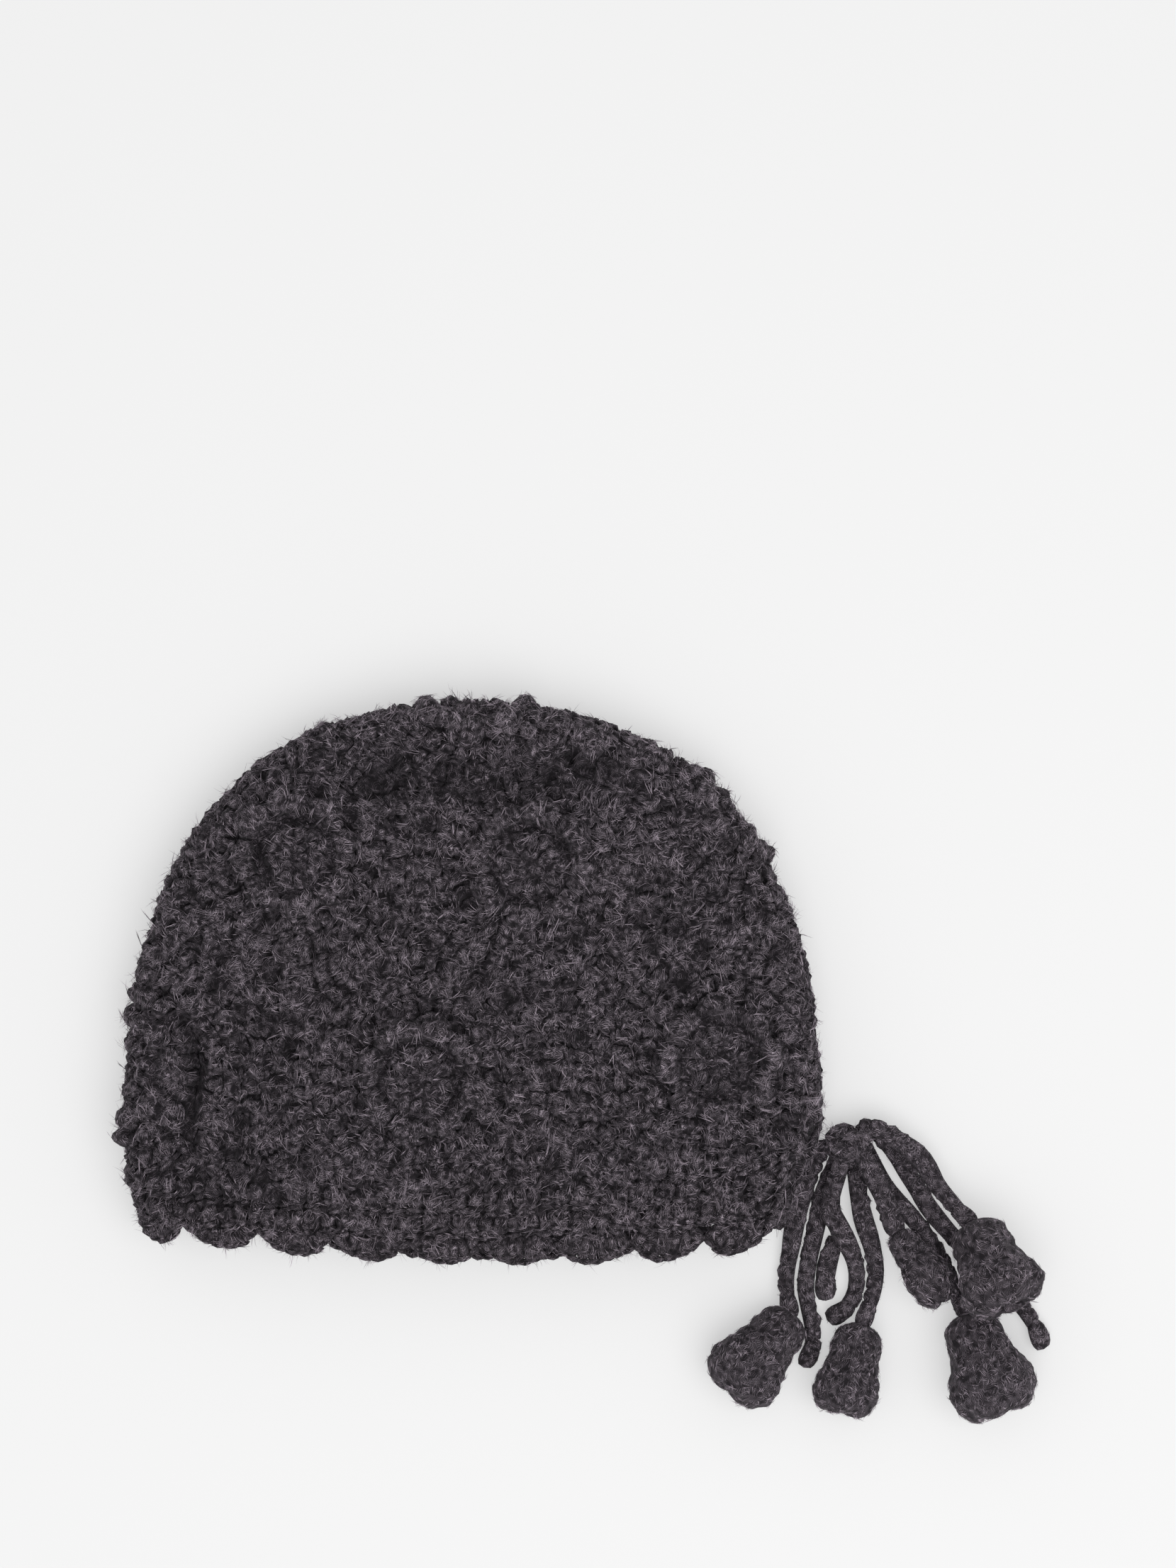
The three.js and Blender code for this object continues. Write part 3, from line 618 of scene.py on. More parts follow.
def make_knot():
    """A trefoil as wide as the knot: (2 + cos 3a) round a ring that is passed twice."""
    a = np.linspace(0, 2 * np.pi, 120)
    ring = 2.0 + np.cos(3 * a)
    trefoil = np.stack([ring * np.cos(2 * a), ring * np.sin(2 * a), np.sin(3 * a)], 1)
    curve = trefoil * KNOT_HALVES + KNOT_MIDDLE + KNOT_LIES - CAP_MIDDLE
    length = np.linalg.norm(np.diff(curve, axis=0), axis=1).sum()
    part = chain_cord(curve, length)
    part = brushed(part, KNOT_HAIRS, all_round=True, lively=0.5, pale=0.85, longest=3.0)
    return make_piece("tie_knot_cord", part, cord_yarn, ["tie_knot"])


knot = make_knot()


# The bells, five crocheted cups worked round from the end of a strand to a wavy mouth. They are thick and
# felted: rounds of short stitches show only as soft ribs, and the mouth's edge is turned in.
# The strand that each one ends, the middle of its mouth, and the mouth's radius.
BELLS = {
    "bell_1": ("tie_strand_1", (85.6, -85.6, 13.8), 12.3),
    "bell_2": ("tie_strand_5", (122.9, -92.8, 12.3), 10.8),
    "bell_3": ("tie_strand_9", (178.2, -56.2, 24), 13.4),
    "bell_4": ("tie_strand_7", (176.5, -92.4, 16), 13.8),
    "bell_5": ("tie_strand_6", (157.0, -55, 15), 7.7),
}
# How far from the neck to the mouth, and the radius there as a share of the mouth's: outside, then inside.
BELL_PROFILE = [
    (-0.03, 0.0), (-0.03, 0.24), (0.0, 0.44), (0.05, 0.62), (0.14, 0.73), (0.26, 0.77), (0.36, 0.79),
    (0.47, 0.87), (0.58, 0.98), (0.70, 1.05), (0.82, 1.04), (0.93, 0.93), (1.01, 0.74), (1.04, 0.54),
    (0.99, 0.42), (0.91, 0.32), (0.89, 0.0),
]
# The lobes of the mouth, and how far they stand out and ahead. The ribs, and the rounds, by their height.
BELL_LOBES, LOBE_DEPTH, LOBE_AHEAD = 5, 0.08, 0.035
BELL_RIBS, RIB_DEPTH = 17, 0.018
BELL_ROUND, ROUND_DEPTH = 5.2, 0.6
# Its soft dents: depth, how many go round, and how far they turn down its length. The puckers come and go.
BELL_DENTS = [(0.05, 2, 6), (0.045, 4, -9)]
BELL_PUCKERS = (0.03, 7, 14, 13)
BELL_HAIRS = 8
BELL_ROWS = 50
BELL_COLUMNS = 60
bell_yarn = make_yarn("bell_yarn", DARK, PALE, even=0.04, drawn=0.62, clumpy=0.4)


def make_bell(name, strand, mouth, radius):
    """A turned profile, its radius times one plus lobes that grow towards the mouth, ribs and dents."""
    curve = cords[strand][1] / MM
    neck = curve[-1]
    axis = np.array(mouth) - CAP_MIDDLE - neck
    length = np.linalg.norm(axis)
    axis /= length
    east = np.cross(axis, [0, 0, 1.0])
    east /= np.linalg.norm(east)
    north = np.cross(east, axis)
    profile = np.array(BELL_PROFILE)
    run = np.concatenate([[0], np.cumsum(np.linalg.norm(np.diff(profile, axis=0), axis=1))])
    even = np.linspace(0, run[-1], BELL_ROWS)
    down = np.interp(even, run, profile[:, 0])
    wide = np.interp(even, run, profile[:, 1])
    kernel = np.array([1, 2, 3, 2, 1]) / 9
    down[2:-2] = np.convolve(down, kernel, "valid")
    wide[2:-2] = np.convolve(wide, kernel, "valid")
    angle = 2 * np.pi * np.arange(BELL_COLUMNS) / BELL_COLUMNS
    d, w = down[1:-1, None], wide[1:-1, None]
    phase = draw.uniform(0, 2 * np.pi, 8)
    around = angle + 0 * d
    lobe = np.abs(np.cos(BELL_LOBES / 2 * angle + phase[0])) ** 0.8 - 0.6
    rounds = np.abs(np.sin(np.pi * (d * length / BELL_ROUND + 0.2 * np.sin(angle + phase[4]))))
    ribs = RIB_DEPTH * (0.3 + 0.7 * rounds) * np.cos(BELL_RIBS * angle + phase[1] + 3 * d)
    dents = sum(
        depth * np.sin(number * around + slope * d + phase[2 + i])
        for i, (depth, number, slope) in enumerate(BELL_DENTS)
    )
    depth, number, slope, waves = BELL_PUCKERS
    dents = dents + depth * np.sin(number * around + slope * d + phase[5]) * np.sin(waves * d + phase[6])
    dents = dents * np.sin(np.pi * d.clip(0, 1)) ** 0.5
    across = radius * w * (1 + LOBE_DEPTH * smooth((d - 0.35) / 0.5) * lobe + ribs + dents)
    across = across - ROUND_DEPTH * (1 - rounds) * w
    ahead = length * d * (1 + LOBE_AHEAD * lobe * smooth((d - 0.6) / 0.4))
    points = (
        neck
        + ahead[..., None] * axis
        + (across * np.cos(angle))[..., None] * east
        + (across * np.sin(angle))[..., None] * north
    ).reshape(-1, 3)
    tips = np.array([neck + axis * length * down[0], neck + axis * length * down[-1]])
    rows = BELL_ROWS - 2
    k = np.arange(BELL_COLUMNS)
    following = (k + 1) % BELL_COLUMNS
    start = BELL_COLUMNS * np.arange(rows - 1)[:, None]
    quads = np.stack([start + k, start + following, start + BELL_COLUMNS + following,
                      start + BELL_COLUMNS + k], -1).reshape(-1, 4)
    last = BELL_COLUMNS * (rows - 1)
    first_tip = rows * BELL_COLUMNS
    tris = np.concatenate([
        np.stack([np.full(BELL_COLUMNS, first_tip), following, k], -1),
        np.stack([np.full(BELL_COLUMNS, first_tip + 1), last + k, last + following], -1),
    ])
    points = np.concatenate([points, tips])
    outward = points - (neck + axis * ((points - neck) @ axis)[:, None])
    outward /= np.linalg.norm(outward, axis=1)[:, None] + 1e-9
    around = np.abs(angle / np.pi - 1) * np.pi * radius / CENTIMETRE + 0 * d
    flat = np.stack([around, even[1:-1, None] * length / CENTIMETRE + 0 * around], -1).reshape(-1, 2)
    body = facing_out({
        "points": points,
        "quads": quads,
        "tris": tris,
        "uv": np.concatenate([flat, [[0, 0], [0, 1]]]),
        "shade": np.full(len(points), 0.5),
        "along": np.broadcast_to(axis, points.shape),
        "outward": outward,
    })
    hairs = int(BELL_HAIRS * radius * length)
    part = brushed(body, hairs, all_round=True, lively=0.65, pale=0.95, longest=3.0)
    return make_piece(name + "_felt", part, bell_yarn, [name])


bells = {name: make_bell(name, *row) for name, row in BELLS.items()}

hung = {strand: [bells[name]] for name, (strand, _, _) in BELLS.items()}
hung["tie_strand_2"] = [knot]
hung["tie_strand_3"] = [cords["tie_strand_4"][0]]
for name, (piece, curve, length) in cords.items():
    if name == "tie_strand_4":
        continue
    "fitting" if name in [row[0] for row in BELLS.values()] else "bare"


# The cap's sheets. A place on the cap is named by a chart, which is the front or the back sheet rolled out
# flat over the round fold that joins them. The outline is a superellipse, drawn in at the right of the hem
# by TUCK. It is worked out down to its foot, and runs on straight from there.
HALF_WIDTH = 117.3
CROWN_RISE = 144.5
HEM_FALL = 79.0
OUTLINE_POWER = 2.45
TUCK, TUCK_TOP, TUCK_FALL = 7.0, 8.0, 34.0
OUTLINE_POINTS, OUTLINE_END = 261, 0.8 * np.pi
OUTLINE_FOOT = -48.0
OUTLINE_RUN_ON = 40.0
FOLD_RADIUS = 11.5
# How much closer the stitches lie to the fold than to the flat sheets: at the left, and more at the right.
FOLD_TIGHTNESS = (0.9, 1.5)
TIGHTER_FROM, TIGHTER_OVER = -40.0, 120.0
WALL = 5.0
MID_HEIGHT = 13.9
ROLL = (np.pi / 2 - 1) * FOLD_RADIUS
QUARTER_ROLL = np.pi / 2 * FOLD_RADIUS
HEM_HEIGHT = -25.5
HEM_SAG = 8.0
# How uneven the sheets are, and how close to the floor they come.
SLACK = 0.6
LOWEST = 0.25
# The height at which the front's swells start, and how far up it they take to be whole.
SWELL_FOOT = -51.0
SWELL_FADE = 40.0
# Soft forms of the front: place, half-lengths along and across, turn and height.
SWELLS = np.array([
    (0, 48, 78, 62, 0, 3), (-2, 119, 42, 5.5, 0.02, -4), (-91.5, 19, 17, 5, 1.5, -2.6),
    (-17, 19, 26, 26, 0, 1.6), (83, 26, 24, 24, 0, 1.6), (-59, 94, 24, 24, 0, 1.6),
    (20, 91, 24, 24, 0, 1.6), (32, 58, 26, 9, -0.5, -1.6), (-52, 52, 22, 9, 0.7, -1.6),
])
# Small holes between the stitches of the front, sunk and dark with painted shade: place, and how wide they
# are drawn open.
HOLES = np.array([
    (-51.8, 127.5, 2.1), (-25.8, 125.9, 2.0), (-33.3, 117.7, 2.6), (-5.9, 122.6, 1.9), (-24.2, 118.5, 1.4),
    (-25, 113.3, 1.4), (1.6, 114.8, 1.9), (8.2, 115.9, 1.4), (-11.1, 112.9, 1.5), (25.3, 120.4, 1.8),
    (31.2, 126.4, 2.0), (37.5, 122.3, 2.6), (44.8, 122, 2.4), (55.1, 117.2, 2.2), (52.3, 111.7, 1.7),
    (-51, 115.6, 1.8), (-43.1, 131.5, 1.5), (-40.9, 107.7, 2.0), (-26.1, 104.1, 1.8), (-15, 104.2, 2.1),
    (-36.4, 90, 1.6), (-41.7, 81.6, 1.6), (-26.6, 81.6, 1.6), (-28.5, 71, 1.3), (-1.6, 78.4, 2.2),
    (-6.3, 88.4, 1.4), (-14.3, 64.1, 1.9), (-30.1, 57, 1.9), (-10.3, 57, 1.4), (2.4, 52, 1.7),
    (11.1, 46.2, 2.5), (18.2, 48.3, 1.7), (30.4, 52, 1.7), (31.4, 44.4, 1.5), (63.4, 86.3, 1.8),
    (67.6, 69.7, 2.1), (58.9, 64.1, 2.1), (52.6, 71.3, 1.7), (69.4, 52.3, 2.5), (80, 80.8, 1.9),
    (84, 71.6, 1.9), (94.2, 75.2, 2.0), (101.7, 61.8, 2.1), (83.2, 97.4, 1.7), (-93.5, 61.8, 1.9),
    (-84.7, 61, 1.8), (-84.7, 50.7, 2.5), (-67.6, 55.1, 2.1), (-77.1, 42, 1.9), (-68.4, 36.9, 2.6),
    (-59.9, 39.6, 1.9), (-76.3, 30.9, 1.9), (-61.3, 30.1, 2.1), (-77.6, 5.5, 2.1), (-68.9, 24.5, 1.7),
    (-64.6, 19.3, 1.5), (-38, 10.6, 1.7), (-74, 18.2, 1.3), (-90, 101.7, 1.9), (-93.9, 81.6, 1.6),
    (-104.5, 65.7, 1.5), (25.3, 19.8, 1.9), (20.6, 29.3, 1.8), (26.1, -9.5, 2.1), (22.2, -2.4, 1.8),
    (14.3, -12.7, 1.6), (23, -23.4, 1.6), (103, 3.2, 2.0), (113.6, 0.8, 1.8), (34.9, 33.3, 1.8),
    (58.9, 26.9, 1.8), (63, -17.7, 1.6), (92.2, 8.7, 1.6), (-80, -5.5, 1.8), (-78.4, -11.9, 1.5),
    (-86.3, -19, 1.7), (-64.9, -19.8, 1.7), (-55.4, -10.3, 1.7), (-80.8, -26.9, 1.5),
])
# How far a hole's edge spreads, how deep it is and how much of the yarn's paleness it takes as painted shade.
# How hard it pushes the stitches round it apart, and how far off it still does.
HOLE_SPREAD, HOLE_DEPTH, HOLE_PAINTED_SHADE = 1.35, 4.5, 0.97
HOLE_PUSH, PUSH_REACH = 0.85, 2.2


def arc(x, y, radius, first, last):
    """Points on an arc, its angles in degrees."""
    angle = np.radians(np.linspace(first, last, 9))
    return [(x + radius * np.cos(a), y + radius * np.sin(a)) for a in angle]


# Grooves of the front, sunk and darkened with painted shade: depth, width and course.
GROOVES = [
    (3.0, 1.9, arc(-58.6, 94.2, 12.2, 215, 40)),
    (1.4, 1.5, arc(-58.6, 94.2, 12.2, 40, -60)),
    (1.6, 1.7, arc(-58.6, 94.2, 22.5, 185, 225)),
    (2.2, 1.8, arc(18.2, 91.1, 12.2, 150, 15)),
    (1.6, 1.5, arc(18.2, 91.1, 12.4, 215, 310)),
    (1.8, 1.5, arc(-18.2, 19.8, 12.6, 200, -20)),
    (2.0, 1.4, arc(-18.2, 19.8, 13.4, 20, -25)),
    (1.4, 1.4, arc(-18.2, 19.8, 20.5, 240, 320)),
    (1.8, 1.3, [(-36.4, 38), (-28, 41), (-16, 43.6), (-10, 42), (-4, 39.4)]),
    (2.0, 1.6, [(68.1, 42.8), (77.6, 40.4), (90.3, 38.8), (94.2, 30), (88.7, 19), (82.4, 15), (66, 11.9)]),
    (1.6, 1.2, [(50.7, 41.2), (56, 45), (61.8, 49.1)]),
    (1.8, 1.2, [(-58, 47.2), (-52.3, 46.9), (-46, 44.6)]),
    (1.8, 1.2, [(82, 52.9), (92, 51.6)]),
    (3.2, 1.9, [(-97.4, 39.6), (-93.5, 31.7), (-91.9, 20.6), (-94.2, 9.5), (-95, 0)]),
    (2.0, 1.3, [(-104.9, 27.5), (-104.9, 8.7)]),
    (2.0, 1.4, [(-107.7, 50.7), (-100.1, 45.6)]),
    (1.8, 1.3, [(-110.1, 34.5), (-106.1, 38.8), (-97.4, 39.6)]),
    (2.2, 1.3, [(7.1, 20.5), (8.8, 11)]),
    (2.0, 1.8, [(110.9, -6.3), (105.3, -19)]),
]
# How far a groove's edge spreads, and how much it sinks and takes painted shade for each step of its depth.
GROOVE_SPREAD, GROOVE_DEPTH, GROOVE_PAINTED_SHADE = 1.3, 1.7, 0.38
# Stretches of painted shade: place, half-lengths, turn, and how dark they are.
SHADES = [
    (-2, 120, 50, 7.5, 0.0, 0.6), (-78, -14, 22, 13, 0.0, 0.35), (66, 75, 12, 12, 0.0, 0.35),
    (82, 25, 14, 14, 0.0, 0.2),
]
LEAST_LIGHT = 0.05


def make_outline():
    """The outline's points from the left end of the hem over the top to the right, with inward normals."""
    turn = np.linspace(0, OUTLINE_END, OUTLINE_POINTS)
    power = 2 / OUTLINE_POWER
    high = np.where(np.cos(turn) > 0, CROWN_RISE, HEM_FALL)
    y = high * np.sign(np.cos(turn)) * np.abs(np.cos(turn)) ** power
    x = HALF_WIDTH * np.sin(turn) ** power
    kept = y > OUTLINE_FOOT
    left = np.stack([-x, y], 1)[kept]
    right = np.stack([x - TUCK * smooth((TUCK_TOP - y) / TUCK_FALL), y], 1)[kept]
    ends = []
    for half in (left, right):
        way = half[-1] - half[-2]
        ends.append(np.concatenate([half, [half[-1] + way / np.linalg.norm(way) * OUTLINE_RUN_ON]]))
    points = np.concatenate([ends[0][::-1], ends[1][1:]])
    after = np.concatenate([points[1:], points[-1:]])
    before = np.concatenate([points[:1], points[:-1]])
    along = after - before
    inward = np.stack([along[:, 1], -along[:, 0]], 1)
    return points, inward / np.linalg.norm(inward, axis=1)[:, None]


outline, inward_at = make_outline()
top_index = int(np.argmax(outline[:, 1]))
fold_line = outline - inward_at * ROLL

# The distance to the outline is worked out once, on a fine grid over the chart, and read between its nodes.
GRID_STEP = 1.5
GRID_LOW = np.array([-170.0, -100.0])
GRID_SIZE = (230, 200)
AT_A_TIME = 3000


def measure_edge(x, y):
    """For each place: the inward direction at the nearest point of the outline, and the signed distance."""
    a, b = outline[:-1], outline[1:]
    span = b - a
    found = []
    for part in np.array_split(np.stack([x, y], 1), max(len(x) // AT_A_TIME, 1)):
        away = part[:, None] - a
        t = np.clip((away * span).sum(-1) / (span * span).sum(-1), 0, 1)
        gap = part[:, None] - (a + span * t[..., None])
        i = (gap * gap).sum(-1).argmin(1)
        row = np.arange(len(part))
        share = t[row, i][:, None]
        inward = inward_at[i] * (1 - share) + inward_at[i + 1] * share
        inward /= np.linalg.norm(inward, axis=1)[:, None]
        near = gap[row, i]
        distance = np.linalg.norm(near, axis=1) * np.sign((near * inward).sum(1))
        found.append(np.concatenate([inward, distance[:, None]], 1))
    return np.concatenate(found)


grid_x = GRID_LOW[0] + GRID_STEP * np.arange(GRID_SIZE[0])
grid_y = GRID_LOW[1] + GRID_STEP * np.arange(GRID_SIZE[1])
edge_grid = measure_edge(*(g.ravel() for g in np.meshgrid(grid_x, grid_y, indexing="ij")))
edge_grid = edge_grid.reshape(*GRID_SIZE, 3)


def edge_at(x, y):
    """measure_edge, read from the grid by bilinear weights."""
    u = np.clip((x - GRID_LOW[0]) / GRID_STEP, 0, GRID_SIZE[0] - 1.001)
    v = np.clip((y - GRID_LOW[1]) / GRID_STEP, 0, GRID_SIZE[1] - 1.001)
    i, j = u.astype(int), v.astype(int)
    s, t = (u - i)[:, None], (v - j)[:, None]
    lower = edge_grid[i, j] * (1 - s) + edge_grid[i + 1, j] * s
    upper = edge_grid[i, j + 1] * (1 - s) + edge_grid[i + 1, j + 1] * s
    found = lower * (1 - t) + upper * t
    return found[:, :2] / (np.linalg.norm(found[:, :2], axis=1)[:, None] + 1e-9), found[:, 2]


def in_oval(x, y, middle_x, middle_y, along, across, turn):
    """Places in the measures of an oval: along it and across it, both 1 at its edge."""
    dx, dy = x - middle_x, y - middle_y
    u = (dx * np.cos(turn) + dy * np.sin(turn)) / along
    v = (dy * np.cos(turn) - dx * np.sin(turn)) / across
    return u, v


def hollows(x, y):
    """The depth of the grooves at each place, and how near it is to a hole, as bell curves."""
    grooves = np.zeros_like(x)
    for depth, width, course in GROOVES:
        near = np.full_like(x, np.inf)
        for (ax, ay), (bx, by) in zip(course[:-1], course[1:]):
            span = (bx - ax) ** 2 + (by - ay) ** 2
            t = np.clip(((x - ax) * (bx - ax) + (y - ay) * (by - ay)) / span, 0, 1)
            near = np.minimum(near, (x - ax - t * (bx - ax)) ** 2 + (y - ay - t * (by - ay)) ** 2)
        grooves = np.maximum(grooves, depth * np.exp(-near / (GROOVE_SPREAD * width) ** 2))
    holes = np.zeros_like(x)
    for hx, hy, wide in HOLES:
        holes = np.maximum(holes, np.exp(-((x - hx) ** 2 + (y - hy) ** 2) / (HOLE_SPREAD * wide) ** 2))
    return grooves, holes


def relief(x, y, run):
    """How far the front stands off a flat sheet: oval swells, less the grooves and holes.

    A swell is a bell curve in both ways, a groove one across its arc, and swells fade out on the fold."""
    height = np.zeros_like(x)
    for *oval, rise in SWELLS:
        u, v = in_oval(x, y, *oval)
        height += rise * np.exp(-(u * u + v * v) / 2)
    height *= smooth(run / QUARTER_ROLL) * smooth((y - SWELL_FOOT) / SWELL_FADE)
    grooves, holes = hollows(x, y)
    return height - GROOVE_DEPTH * grooves - HOLE_DEPTH * holes


def light_on(x, y):
    """The share of its paleness that the yarn keeps at each place of the front: painted shade, less in the
    hollows and the shaded stretches.
    """
    grooves, holes = hollows(x, y)
    kept = (1 - HOLE_PAINTED_SHADE * holes) * (1 - GROOVE_PAINTED_SHADE * grooves).clip(LEAST_LIGHT)
    for *oval, dark in SHADES:
        u, v = in_oval(x, y, *oval)
        kept = kept * (1 - dark * np.exp(-((u * u) ** 2 + (v * v) ** 2)))
    return kept.clip(LEAST_LIGHT)


def evenly_lit(x, y):
    """The back keeps all its paleness."""
    return np.ones_like(x)


def drawn_open(x, y):
    """Places on the front pushed away from the middle of each hole, by less the further off they are."""
    px, py = x.copy(), y.copy()
    for hx, hy, wide in HOLES:
        dx, dy = x - hx, y - hy
        away = np.hypot(dx, dy) + 0.3
        push = HOLE_PUSH * wide * np.exp(-((away / (PUSH_REACH * wide)) ** 2)) / away
        px += dx * push
        py += dy * push
    return px, py


def unevenness(x, y):
    """The slack of hand work: a sum of long waves in crossing directions."""
    return (
        0.45 * np.sin(0.21 * x + 0.13 * y + 1) + 0.4 * np.sin(0.26 * y - 0.17 * x + 4)
        + 0.3 * np.sin(0.42 * x - 0.1 * y + 2) + 0.3 * np.sin(0.39 * y + 0.2 * x)
    )


def lay(x, y, lift, side):
    """Chart place and lift to a point: flat on a sheet, round the fold, or past it on the other sheet."""
    if side > 0:
        x, y = drawn_open(x, y)
    inward, distance = edge_at(x, y)
    run = distance + ROLL
    out = FOLD_RADIUS + lift + SLACK * unevenness(x, y)
    if side > 0:
        out = out + relief(x, y, run)
    angle = np.clip(run / FOLD_RADIUS, -np.pi / 2, np.pi / 2)
    tightness = FOLD_TIGHTNESS[0] + FOLD_TIGHTNESS[1] * smooth((x - TIGHTER_FROM) / TIGHTER_OVER)
    out = out - tightness * np.cos(angle) ** 2
    inset = FOLD_RADIUS - out * np.cos(angle)
    inset = np.where(run >= QUARTER_ROLL, distance, inset)
    inset = np.where(run <= -QUARTER_ROLL, FOLD_RADIUS - QUARTER_ROLL - run, inset)
    foot = np.stack([x, y], 1) - inward * distance[:, None]
    flat = foot + inward * inset[:, None] - CAP_MIDDLE[:2]
    z = MID_HEIGHT + side * out * np.sin(angle)
    return np.column_stack([flat, z.clip(LOWEST)])


def front(x, y, lift):
    """A place on the front's chart, also where it runs on round the fold."""
    return lay(x, y, lift, 1)


def back(x, y, lift):
    """A place on the back's chart."""
    return lay(x, y, lift, -1)


SHEETS = {"front": front, "back": back}
LIT = {"front": light_on, "back": evenly_lit}


def from_top(step):
    """The fold's middle line from the top, down the left side or the right, and how far along it each is."""
    line = fold_line[top_index::step] if step > 0 else fold_line[top_index::-1]
    return line, np.concatenate([[0], np.cumsum(np.linalg.norm(np.diff(line, axis=0), axis=1))])


left_fold, left_run = from_top(-1)
right_fold, right_run = from_top(1)
HEM_RUN = left_run[np.argmax(left_fold[:, 1] < HEM_HEIGHT)]


def on_round(run, share):
    """A place on a round: an arc across the chart from the left fold, at -1, to the right one, at 1.

    run is how far down the fold from the top. The arc is deep near the top and shallow at the hem."""
    run, share = np.broadcast_arrays(np.asarray(run, float), share)
    left = np.stack([np.interp(run, left_run, left_fold[:, i]) for i in range(2)], -1)
    right = np.stack([np.interp(run, right_run, right_fold[:, i]) for i in range(2)], -1)
    half = np.linalg.norm(right - left, axis=-1) / 2
    across = (right - left) / (2 * half[..., None])
    up = np.stack([-across[..., 1], across[..., 0]], -1)
    at_hem = HEM_SAG / HALF_WIDTH
    depth = half * (at_hem + (1 - at_hem) * np.maximum(1 - run / HEM_RUN, 0) ** 2)
    radius = (half**2 + depth**2) / (2 * depth)
    spread = np.arctan2(half, radius - depth)
    middle = (left + right) / 2 + up * (radius - depth)[..., None]
    turn = share * spread
    return middle + across * (radius * np.sin(turn))[..., None] - up * (radius * np.cos(turn))[..., None]


# The crown's ground: the thick fabric that shows deep between the stitches, and the wall's inner side, darker
# than the yarn over it as painted shade.
# It is one closed wall from the top down to the hem.
GROUND_ROUNDS = 44
GROUND_COLUMNS = 128
GROUND_DEPTH = -1.2
GROUND_SHADOW_DARK = (0.008, 0.0068, 0.008)
GROUND_SHADOW_FULLNESS = 0.3
GROUND_PAINTED_SHADE = 0.3
crown_yarn = make_yarn("crown_yarn", DARK, PALE, even=0.02, drawn=0.6, clumpy=0.85)
ground_yarn = make_yarn("ground_yarn", GROUND_SHADOW_DARK, PALE, GROUND_SHADOW_FULLNESS)


def make_ground():
    """Rounds of corners across the front and back again across the back, outside and inside the wall."""
    turn = np.arange(GROUND_COLUMNS) / GROUND_COLUMNS
    on_front = turn <= 0.5
    share = np.where(on_front, 4 * turn - 1, 3 - 4 * turn)
    run = HEM_RUN * np.arange(1, GROUND_ROUNDS + 1) / GROUND_ROUNDS
    places = on_round(run[:, None], share[None, :])
    x, y = places[..., 0].ravel(), places[..., 1].ravel()
    which = np.tile(on_front, GROUND_ROUNDS)[:, None]
    skins = []
    for lift in (GROUND_DEPTH, -WALL):
        pole = front(fold_line[top_index, :1], fold_line[top_index, 1:], np.array([lift]))
        level = np.full_like(x, lift)
        skins.append(np.concatenate([pole, np.where(which, front(x, y, level), back(x, y, level))]))
    k = np.arange(GROUND_COLUMNS)
    following = (k + 1) % GROUND_COLUMNS
    start = 1 + GROUND_COLUMNS * np.arange(GROUND_ROUNDS - 1)[:, None]
    below = start + GROUND_COLUMNS
    quads = np.stack([start + k, below + k, below + following, start + following], -1).reshape(-1, 4)
    fan = np.stack([0 * k, 1 + k, 1 + following], -1)
    shift = len(skins[0])
    rim = 1 + GROUND_COLUMNS * (GROUND_ROUNDS - 1)
    hem = np.stack([rim + k, rim + k + shift, rim + following + shift, rim + following], -1)
    points = np.concatenate(skins)
    flat = np.concatenate([[[0, 0]], np.column_stack([x, y]) / CENTIMETRE])
    # Painted shade: the ground is darker than the stitches, and darker again in the front's hollows.
    shade = GROUND_PAINTED_SHADE * np.append(1.0, np.where(which[:, 0], light_on(x, y), 1.0))
    return facing_out({
        "points": points,
        "quads": np.concatenate([quads, quads[:, ::-1] + shift, hem]),
        "tris": np.concatenate([fan, fan[:, ::-1] + shift]),
        "uv": np.concatenate([flat, flat]),
        "shade": np.tile(shade, 2),
        "along": np.zeros_like(points) + [0, 1, 0],
        "outward": np.zeros_like(points) + [0, 0, 1],
    })


ground = make_ground()
make_piece("crown_ground", ground, ground_yarn, ["crown"])


# The crown's own stitches, in brushed yarn. The flowers are worked first, five in each of two rounds and one
# at the top, and the crown's stitches run round each of them in rounds that grow out to meet the next
# flower's. Straight rows follow above the hem. A flower has its sheet, its place on the chart and its turn.
FLOWERS = {
    "rosette_upper_1": ("front", -59.9, 94.3, 0.5),
    "rosette_upper_2": ("front", 18.8, 90.8, 0.2),
    "rosette_upper_3": ("front", 94.2, 113, 0.35),
    "rosette_upper_4": ("back", 30, 92, 0.1),
    "rosette_upper_5": ("back", -55, 92, 0.4),
    "rosette_lower_1": ("front", -119.5, 23.2, 0.39),
    "rosette_lower_2": ("front", -17.8, 19.2, 0.15),
    "rosette_lower_3": ("front", 81.7, 25.7, 0.45),
    "rosette_lower_4": ("back", 65, 20, 0.25),
    "rosette_lower_5": ("back", -35, 20, 0),
    "rosette_top": ("front", 0, 152, 0.2),
}
# The flowers that the fold carries round onto the back.
FOLDED = ("rosette_upper_3", "rosette_lower_1", "rosette_top")
# How wide a stitch is and how deep a round, where the rounds start, and the rows above the hem.
STITCH = 4.9
ROW = 7.8
ROUND_START = 20.5
HEM_ROWS = 2
HEM_ROW = 9.0
HEM_STAGGER = 2.2
HEM_FOOT, HEM_HEAD = 0.3, 0.9
ROW_SLACK = 0.7
MOST_ROUNDS = 8
